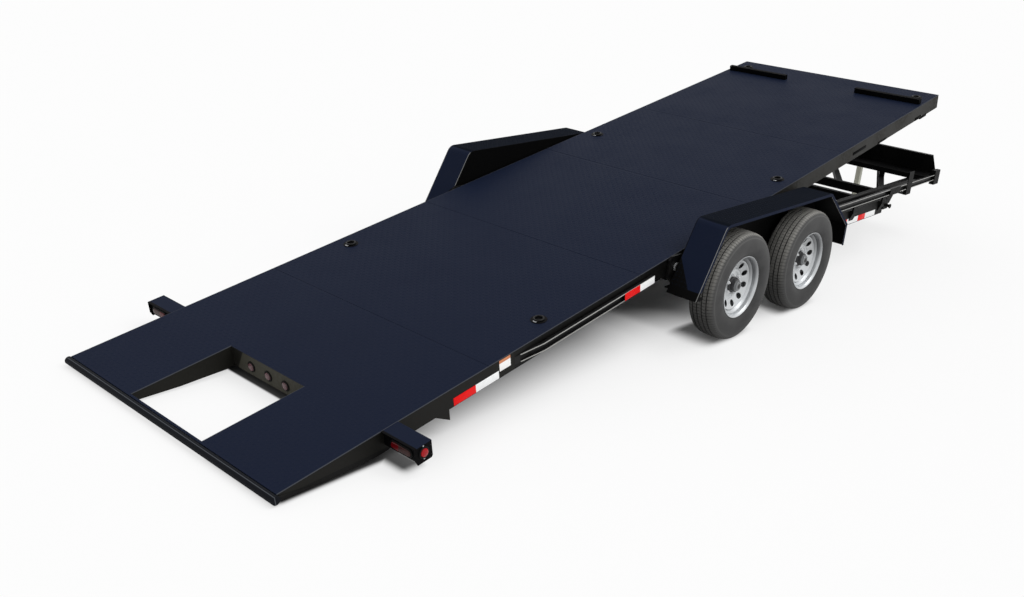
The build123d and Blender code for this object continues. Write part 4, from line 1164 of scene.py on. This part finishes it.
# Places along here are from the middle of the axles. The edge of the painted shadow under the deck:
# place along, distance out
shadow_edge = [
    (-4.50, 1.00), (-3.30, 1.03), (-3.05, 0.97), (-2.80, 0.92), (-2.20, 0.83), (-1.80, 0.785),
    (-1.35, 0.73), (-1.06, 0.63), (-0.81, 0.64), (-0.69, 0.76), (-0.50, 0.85), (-0.30, 1.00),
    (0.80, 1.00), (1.30, 0.55), (2.70, 0.0),
]
shadow_from = shadow_edge[0][0]
shadow_length = 8.0
shadow_soft = 0.38
shadow_end = 3.2
tail_shadow = (-4.13, -3.25)
lamp_shadow = -3.40
wall_shadow = (-3.462, -3.30)
tyre_feet = (-0.4805, 0.4805)
white, start, shader = new_material("studio_white")
seen = start.node("ShaderNodeLightPath", out=0)
coords = start.coords()
place_x = coords.axis("X") - tandem_x
place_y = abs(coords.axis("Y"))
edge_stops = [((x - shadow_from) / shadow_length, out) for x, out in shadow_edge]
share = (place_x - shadow_from) * (1 / shadow_length)
edge_y = start.node("ShaderNodeValToRGB", {0: share}, stops=edge_stops)
# Painted shadow, where the floor's glow is left out: the deck's shade starts at the notch's front
# wall, and beside the notch a little further on
beside_notch = place_y.above(0.42, 0.02)
behind_wall = place_y.below(0.60, 0.02) * place_x.above(wall_shadow[0], 0.012)
under_deck = behind_wall.most(beside_notch * place_x.above(-3.35, 0.15))
under_deck = under_deck * (place_y - edge_y).below(0.0, shadow_soft)
under_tail = place_y.below(1.012, 0.025) * beside_notch * place_x.below(tail_shadow[1], 0.1)
under_tail = under_tail * place_x.above(tail_shadow[0], 0.04)
under_lamps = place_y.below(1.17, 0.05) * abs(place_x - lamp_shadow).below(0.075, 0.04)
under_lamps = under_lamps * place_y.above(0.9, 0.05)
under_wall = place_y.below(0.62, 0.02) * place_x.above(wall_shadow[0], 0.012)
under_wall = under_wall * place_x.below(wall_shadow[1], 0.08)
under = (under_deck * place_x.below(shadow_end, 0.5)).most(under_tail).most(under_lamps)
feet = place_y.below(1.26, 0.05) * place_y.above(0.90, 0.06)
for foot_x in tyre_feet:
    under = under.most(feet * abs(place_x - foot_x).below(0.25, 0.12) * 0.95)
deep = (under_tail * place_y.above(0.92, 0.03)).most(under_lamps).most(under_wall)
# Painted shadow: where the glow is left out, the floor's colour is painted darker too, least beside
# the wheels, and darkest under the tail's sides, the lamps and the notch's wall
dim = (under * (0.45 - place_x.above(-0.9, 0.25) * 0.33)).most(deep * 0.85)
connect(
    shader,
    Base_Color=dim.mix((0.93, 0.93, 0.93, 1), (0, 0, 0, 1)),
    Roughness=1.0,
    Specular_IOR_Level=0.0,
)
glow = start.node("ShaderNodeEmission", {"Color": (1, 1, 1, 1), "Strength": 1.0})
blend = white.node_tree.nodes.new("ShaderNodeMixShader")
wire = white.node_tree.links.new
wire((seen * (1.0 - under) * floor_glow).socket, blend.inputs[0])
wire(shader.outputs[0], blend.inputs[1])
wire(glow.socket, blend.inputs[2])
wire(blend.outputs[0], white.node_tree.nodes["Material Output"].inputs["Surface"])
bm = bmesh.new()
bmesh.ops.create_circle(bm, cap_ends=True, segments=96, radius=floor_radius)
floor = placed("floor", to_mesh(bm, "floor"))
floor.data.materials.append(white)

world = bpy.data.worlds.new("studio")
scene.world = world
world.use_nodes = True
start = Shade(world.node_tree)
seen = start.node("ShaderNodeLightPath", out=0)
glossy = start.node("ShaderNodeLightPath", out=3)
through = start.node("ShaderNodeLightPath", out=6)
shown = seen.most(glossy.most(through))
backdrop = world.node_tree.nodes["Background"]
start.tree.links.new((shown * (1 - sky_light) + sky_light).socket, backdrop.inputs["Strength"])
backdrop.inputs["Color"].default_value = (1, 1, 1, 1)

sun = placed("sun", bpy.data.lights.new("sun", "SUN"))
sun.data.energy = 1.45
sun.data.angle = radians(50)
sun_way = Vector((-0.35, 0.55, -1.0))
sun.rotation_euler = sun_way.to_track_quat("-Z", "Y").to_euler()

camera = placed("camera", bpy.data.cameras.new("camera"))
camera.data.lens = 37.24
camera.data.sensor_width = 36.0
camera.data.clip_end = 200.0
azimuth, elevation, roll = -0.8573, 0.3593, 0.0802
forward = Vector((-sin(azimuth) * cos(elevation), cos(azimuth) * cos(elevation), -sin(elevation)))
level_right = forward.cross(Vector((0, 0, 1))).normalized()
level_up = level_right.cross(forward)
right = level_right * cos(roll) + level_up * sin(roll)
up = level_up * cos(roll) - level_right * sin(roll)
turn = Matrix((right, up, -forward)).transposed().to_4x4()
camera_place = (-6.724 + tandem_x, -4.612, 2.761)
camera.matrix_world = Matrix.Translation(camera_place) @ turn
scene.camera = camera
